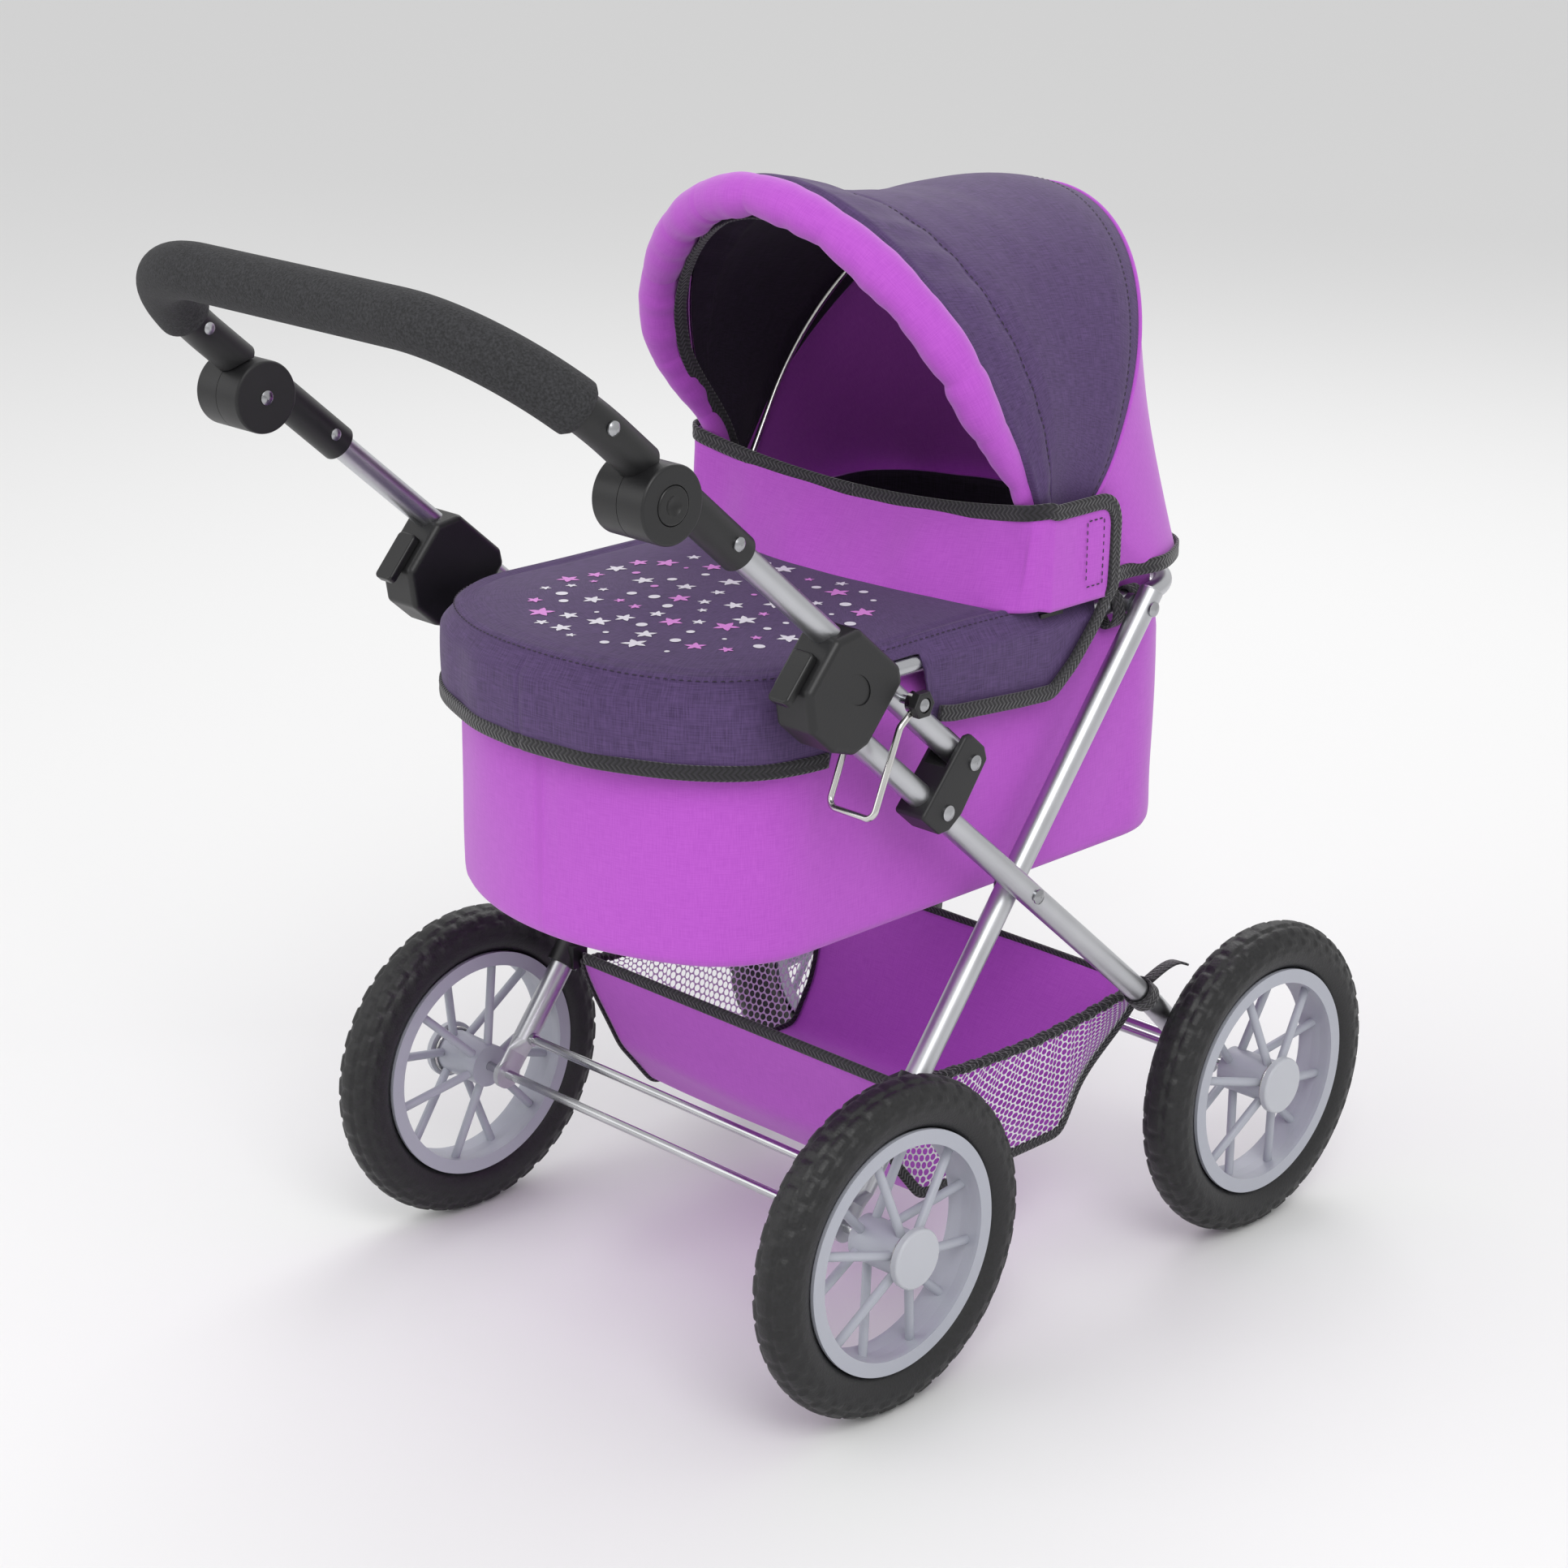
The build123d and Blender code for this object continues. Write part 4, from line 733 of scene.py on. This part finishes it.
def makeCanopy():
    angle = np.linspace(hood["rearSeam"], hood["frontEdge"], 90)[:, None]
    share = np.linspace(0, 1, 150)[None]
    crown = soften(np.interp(angle, hood["ribs"], hood["crowns"]), 8)
    straight = np.interp(angle, [53.6, 62, 95, 112], [45, 62, 74, 52])
    # the cloth pulls in between the bows and puckers along the front casing
    pinch = 5.5 * np.sin(np.pi * np.clip((angle - 60) / 42, 0, 1)) * np.sin(np.pi * share) ** 0.5
    side = np.abs(np.cos(np.pi * share))
    ruck = 0.9 * np.sin(share * 150 + np.sin(share * 40))
    ruck = ruck * ease(99, 101.5, angle) * (1 - ease(110, 112, angle))
    stitched = hood["stitched"]
    groove = (-1.6 * np.exp(-((angle - stitched["front"]) / 0.55) ** 2)
              - 0.8 * np.exp(-((angle - stitched["rear"]) / 0.5) ** 2))
    casing = 1.6 * np.exp(-((angle - 105.5) / 3.2) ** 2)
    drape = 0.9 * np.sin(share * 21 + angle / 6) * np.sin(np.pi * np.clip((angle - 56) / 46, 0, 1))
    half = hood["half"] - pinch * side * 0.9 + (groove + ruck * 0.6 + casing) * side
    crown = crown + (groove + ruck + casing + drape)
    points, r, y = archPoint(angle, share, crown, straight, half, hood["root"], (hood["x"], hood["z"]))
    points[..., 1] -= np.sign(y) * 3.0 * (1 - ease(30, 80, r)) / 1000
    lines = {name: points[np.argmin(np.abs(angle[:, 0] - seam))] for name, seam in stitched.items()}
    # the last rows run forward on to the back of the roll
    reach = np.linspace(0, 1, 9)[1:, None, None]
    front = rollPath(share[0])[None] * reach * 0.9 + points[-1:] * (1 - reach * 0.9)
    points = np.vstack([points, front])
    angle = np.vstack([angle, np.full((8, 1), hood["frontEdge"])])
    piece = gridPiece("soft_hood_canopy", points, flip=True, body=None, slot="aubergine_cloth",
                      materials=[paint["aubergine_cloth"], trim["lining"]], thickness=0.0016)
    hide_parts("hood_rear", "hood_front")

    def at(degrees, radius):
        # a point of the middle plane, out from the hinge
        a = math.radians(degrees)
        spot = place(hood["x"] + radius * math.cos(a), 0, hood["z"] + radius * math.sin(a))
        return [float(v) for v in spot]

    at(60, 150)
    at(106, 150)
    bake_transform(piece)
    # each line through the hinge turns as one, so the gore folds like a fan
    # stitches along the two stitched seams, standing out from the hinge; the front ones ride on the folding
    # front body
    hinge = place(hood["x"], 0, hood["z"])
    for name, body in (("front", "hood_front_fold"), ("rear", "cot")):
        line = resample(lines[name][8:-8], 300)
        stitches("stitch_hood_" + name, line, unit(line - hinge), lift=0.5, body=body,
                 materials=[trim["thread"]])
    return points[0]


rearSeam = makeCanopy()
print("canopy made")


def makeRoll():
    path = resample(rollPath(np.linspace(0.004, 0.996, 420)), 420)
    run = np.linspace(0, roll["length"], 420)[:, None]
    a = math.radians(roll["angle"])
    forward = np.array([math.cos(a + math.pi / 2), 0, math.sin(a + math.pi / 2)])
    around = np.linspace(0, 2 * np.pi, 32, endpoint=False)[None]
    # gathers: fine puckers and slow puffs along the length, deepest on the inner edge
    taper = feetTaper(run, 0.5)
    pucker = 0.8 * np.sin(run / 4.6 + 0.9 * np.sin(run / 19)) + 0.5 * np.sin(run / 2.9 + np.sin(run / 11))
    inner = 0.25 + 0.75 * (0.5 - 0.5 * np.cos(around - roll["pinchSide"]))
    puff = 2.6 * (np.abs(np.sin(run / 17 + 0.7 * np.sin(run / 41))) ** 0.6 - 0.8)
    radius = roll["radius"] * taper + (pucker * 0.5 + puff) * inner * taper + 0.4 * np.sin(run / 31)
    section = np.stack([np.cos(around) * radius, np.sin(around) * radius * 1.08], -1)
    piece = sweep("soft_hood_roll", path, forward, section, body="hood_front_fold", slot="magenta_cloth",
                  materials=[paint["magenta_cloth"]])
    # mouth tape inside the roll
    line = resample(rollPath(np.linspace(0.02, 0.98, 300)), 300)
    inward = unit(place(110, 0, 530) - line)
    thin = feetTaper(np.linspace(0, roll["length"], 300)[:, None], 0.45)
    sweep("binding_hood_mouth", line + inward * (0.0132 * thin) + (0.006, 0, 0), inward, tape(9, 1.0),
          body="hood_front_fold", slot="black_moulding", materials=[trim["binding"]])


makeRoll()


def makeBack(seam):
    # ruled between the canopy's rear seam and the rim at the head end, with soft upright folds
    share = np.linspace(0, 1, 150)
    outline, _ = cotOutline(1200)
    head = outline[outline[:, 0] > hood["headX"]]
    head = head[np.argsort(-np.arctan2(head[:, 1], head[:, 0] - hood["headX"]))]
    foot = resample(head[:, :2] + 8.5 * head[:, 2:], 150)
    bottom = place(foot[:, 0], foot[:, 1], hood["backLow"])
    v = np.linspace(0, 1, 60)[:, None, None]
    points = seam[None] * (1 - v) + bottom[None] * v
    outward = unit(points - place(200, 0, 500)) * (1, 1, 0.2)
    folds = (0.0016 * np.sin(share * 33 + 0.5) + 0.0011 * np.sin(share * 61))[None, :, None]
    folds = folds * np.sin(np.pi * np.clip(v, 0, 0.8) / 1.6)
    bow = 0.0016 * np.sin(np.pi * v) * np.sin(np.pi * share)[None, :, None]
    points = points + outward * (folds + bow)
    piece = gridPiece("soft_hood_back", points, body="cot", slot="magenta_cloth",
                      materials=[paint["magenta_cloth"]], thickness=0.0016)
    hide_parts("hood_back")
    line = resample(points[-1], 260)
    normal = unit((line - place(200, 0, hood["backLow"])) * (1, 1, 0))
    sweep("binding_hood_back", line + (0, 0, 0.003), normal, tape(9.5, 1.5), body="cot",
          slot="black_moulding", materials=[trim["binding"]])
    line = resample(seam, 260)
    sweep("piping_hood_seam", line, unit(line - place(150, 0, 500)), circle(8, 1.6), body="cot",
          slot="magenta_cloth", materials=[paint["magenta_cloth"]])


makeBack(rearSeam)
print("hood made")

# the profile runs over the side view from the rear top edge to the front one
basket = {"profile": [(56, 172), (73, 112), (100.6, 78), (232, 78), (286, 168)], "topHalf": 137.0,
          "lowHalf": 119.0, "netTop": 170.0, "netDip": 9.0}


def basketProfile(count):
    dense = resample(np.array(basket["profile"], float), 400)
    return resample(soften(dense, 60), count)


def makeBasket():
    x, z = basketProfile(120).T
    depth = ease(168, 100, z)
    half = basket["topHalf"] + (basket["lowHalf"] - basket["topHalf"]) * depth
    t = np.linspace(-1, 1, 80)[:, None]
    sag = 1.6 * np.sin(np.pi * (t + 1) / 2) * np.sin(x / 13) + 1.2 * np.sin(x / 7 + t * 3) * (1 - t ** 2)
    panels = place(x, half * t, z - 2.5 * (1 - t ** 2) * depth + sag * 0.7)
    base = gridPiece("soft_basket_panels", panels, body="frame", slot="magenta_cloth",
                     materials=[paint["magenta_cloth"]], thickness=0.0012)
    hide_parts("basket")
    for name, sign in sides.items():
        low = place(x, sign * half, z)
        topX = np.linspace(x[0], x[-1], 120)
        gather = 1.6 * np.sin(topX / 2.6)
        dip = basket["netDip"] * np.sin(np.pi * (topX - x[0]) / (x[-1] - x[0]))
        top = place(topX, sign * (basket["topHalf"] + gather * 0.5), basket["netTop"] - dip)
        v = np.linspace(0, 1, 40)[:, None]
        net = low[None] * (1 - v[..., None]) + top[None] * v[..., None]
        belly = np.sin(np.pi * v) * (2.2 * np.sin(topX / 31) + 1.4 * np.sin(topX / 9) * v)
        net[..., 1] += sign * (belly * 0.6 + 1.2 * np.sin(np.pi * v)) / 1000
        gridPiece("soft_basket_net_" + name, net, flip=sign < 0, body="frame", slot="magenta_cloth",
                  materials=[trim["net"]])
        # gathered elastic along the top, ruched: radius = R + a sin(run)
        ruche = 3.0 + 0.55 * np.sin(np.arange(260) * 1.35)[:, None, None]
        section = circle(12, 1.0)[None] * ruche * (0.9, 1.25)
        sweep("elastic_basket_" + name, resample(top, 260), (0, sign, 0), section, body="frame",
              slot="black_moulding", materials=[trim["elastic"]])
        sweep("binding_basket_" + name, resample(low, 200), (0, sign, 0), tape(7, 1.2), body="frame",
              slot="black_moulding", materials=[trim["binding"]])
    for end, name, face in ((0, "rear", -1), (-1, "front", 1)):
        edge = place(x[end], np.linspace(-half[end], half[end], 60), z[end])
        sweep("binding_basket_" + name, edge, (face, 0, 0), tape(8, 1.6), body="frame",
              slot="black_moulding", materials=[trim["binding"]])


makeBasket()
print("basket made")

loops = {"rimX": (243.0, 262.0), "rimZ": 429.0, "rimY": 133.0, "tieS": -148.0}


def makeLoops():
    turn = np.linspace(0, 2 * np.pi, 40, endpoint=False)
    c, s = np.cos(turn), np.sin(turn)
    lean = math.radians(chassis["lean"])
    up = np.array([math.sin(lean), 0, math.cos(lean)])
    across = np.array([0, 1, 0])
    for name, sign in sides.items():
        for k, x in enumerate(loops["rimX"]):
            # tape wrapped round the rim tube and sewn to the cot below
            path = place(x, sign * loops["rimY"] + 7.2 * c, loops["rimZ"] - 3 + 10.5 * s)
            sweep(f"loop_rim_{name}_{k}", path, np.stack([0 * c, c, s], -1), tape(11, 1.3), ring=True,
                  body="cot", slot="black_moulding", materials=[trim["binding"]])
        # tie round the lower frame tube with its loose end
        centre = along(loops["tieS"], 0, sign * chassis["armY"])
        outward = c[:, None] * across + s[:, None] * up
        sweep("tie_basket_" + name, centre + 0.0085 * outward, outward, tape(12, 1.2), ring=True,
              body="frame", slot="black_moulding", materials=[trim["binding"]])
        reach = np.linspace(0, 1, 24)[:, None]
        hang = np.array([0.03, sign * 0.004, 0.004]) * reach
        tail = centre + up * (0.009 + 0.006 * np.sin(np.pi * reach)) + hang
        sweep("tie_tail_" + name, tail, up, tape(10, 1.2), body="frame", slot="black_moulding",
              materials=[trim["binding"]])


makeLoops()
print("webbing made")

# area is the least x, the most x and the most y of the print
decor = {"count": 90, "seed": 7, "size": (3.0, 8.5), "area": (-78.0, 118.0, 92.0), "apart": 15.5}


def makePrint():
    # plain stars and dots scattered at random but never close, each a flat five-pointed or round shape
    draw = np.random.default_rng(decor["seed"])
    lowX, highX, halfY = decor["area"]
    spots = draw.uniform((lowX, -halfY), (highX, halfY), (2600, 2))
    kept = []
    for spot in spots:
        reach = math.hypot((spot[0] - 30) / 108, spot[1] / 96)
        if reach < 1 and all(math.hypot(*(spot - other)) > decor["apart"] for other in kept):
            kept.append(spot)
    kept = np.array(kept[: decor["count"]])
    isPink = np.arange(len(kept)) % 3 == 0
    for name, chosen in (("white", ~isPink), ("pink", isPink)):
        at = kept[chosen]
        isStar = draw.random(len(at)) < 0.62
        size = draw.uniform(*decor["size"], len(at)) * np.where(isStar, 1, 0.45)
        turn = draw.uniform(0, 2 * np.pi, len(at))
        k = np.arange(20)
        star = np.where(k % 4 == 0, 1.0, np.where(k % 4 == 2, 0.42, 0.66))
        radius = np.where(isStar[:, None], star[None], 1.0) * size[:, None]
        angle = turn[:, None] + k[None] * np.pi / 10
        x = at[:, :1] + radius * np.cos(angle)
        y = at[:, 1:] + radius * np.sin(angle)
        x, y = np.hstack([x, at[:, :1]]), np.hstack([y, at[:, 1:]])
        ring = (np.arange(len(at)) * 21)[:, None] + k[None]
        centre = np.broadcast_to((np.arange(len(at)) * 21 + 20)[:, None], ring.shape)
        triangles = np.stack([ring, np.roll(ring, -1, 1), centre], -1).reshape(-1, 3)
        top = apronTop(x, y) + 0.35
        buildPiece("print_apron_" + name, place(x, y, top).reshape(-1, 3), np.empty((0, 4), int), triangles,
                   body="cot", slot="aubergine_cloth", materials=[trim[name + "Ink"]])


makePrint()
print("print made")
def makeStage():
    floor = bpy.data.objects.new("floor", bpy.data.meshes.new("floor"))
    floor.data.from_pydata([(-40, -40, 0), (40, -40, 0), (40, 40, 0), (-40, 40, 0)], [], [(0, 1, 2, 3)])
    bpy.context.scene.collection.objects.link(floor)
    pale, _, shader = startMaterial("pale studio floor", Roughness=0.9)
    shader.inputs["Base Color"].default_value = toLinear("#ececec")
    floor.data.materials.append(pale)
    world = bpy.data.worlds.new("studio")
    bpy.context.scene.world = world
    world.use_nodes = True
    world.node_tree.nodes["Background"].inputs[0].default_value = (1, 1, 1, 1)
    world.node_tree.nodes["Background"].inputs[1].default_value = 0.75
    # place, size in metres and watts of each soft lamp
    lamps = (("key", (-1.2, -1.9, 2.4), 1.6, 34), ("fill", (-2.2, 1.2, 1.8), 2.2, 16),
             ("back", (1.8, 1.0, 2.2), 1.6, 18))
    for name, at, size, power in lamps:
        lamp = bpy.data.objects.new(name + "_light", bpy.data.lights.new(name, "AREA"))
        lamp.data.size, lamp.data.energy = size, power
        lamp.location = at
        lamp.rotation_euler = (Vector((0, 0, 0.35)) - Vector(at)).to_track_quat("-Z", "Y").to_euler()
        bpy.context.scene.collection.objects.link(lamp)
    camera = bpy.data.objects.new("camera", bpy.data.cameras.new("camera"))
    camera.data.lens, camera.data.sensor_width = 76.32, 36
    right = Vector((0.70557865, -0.70857694, 0.0088033))
    up = Vector((0.22754238, 0.23830968, 0.94415728))
    back = Vector((-0.67110598, -0.66417409, 0.3293775))
    turn = Matrix((right, up, back)).transposed()
    camera.matrix_world = Matrix.Translation((-1.3574, -1.3538, 0.98637)) @ turn.to_4x4()
    bpy.context.scene.collection.objects.link(camera)
    bpy.context.scene.camera = camera
    bpy.context.scene.view_settings.view_transform = "Standard"


makeStage()
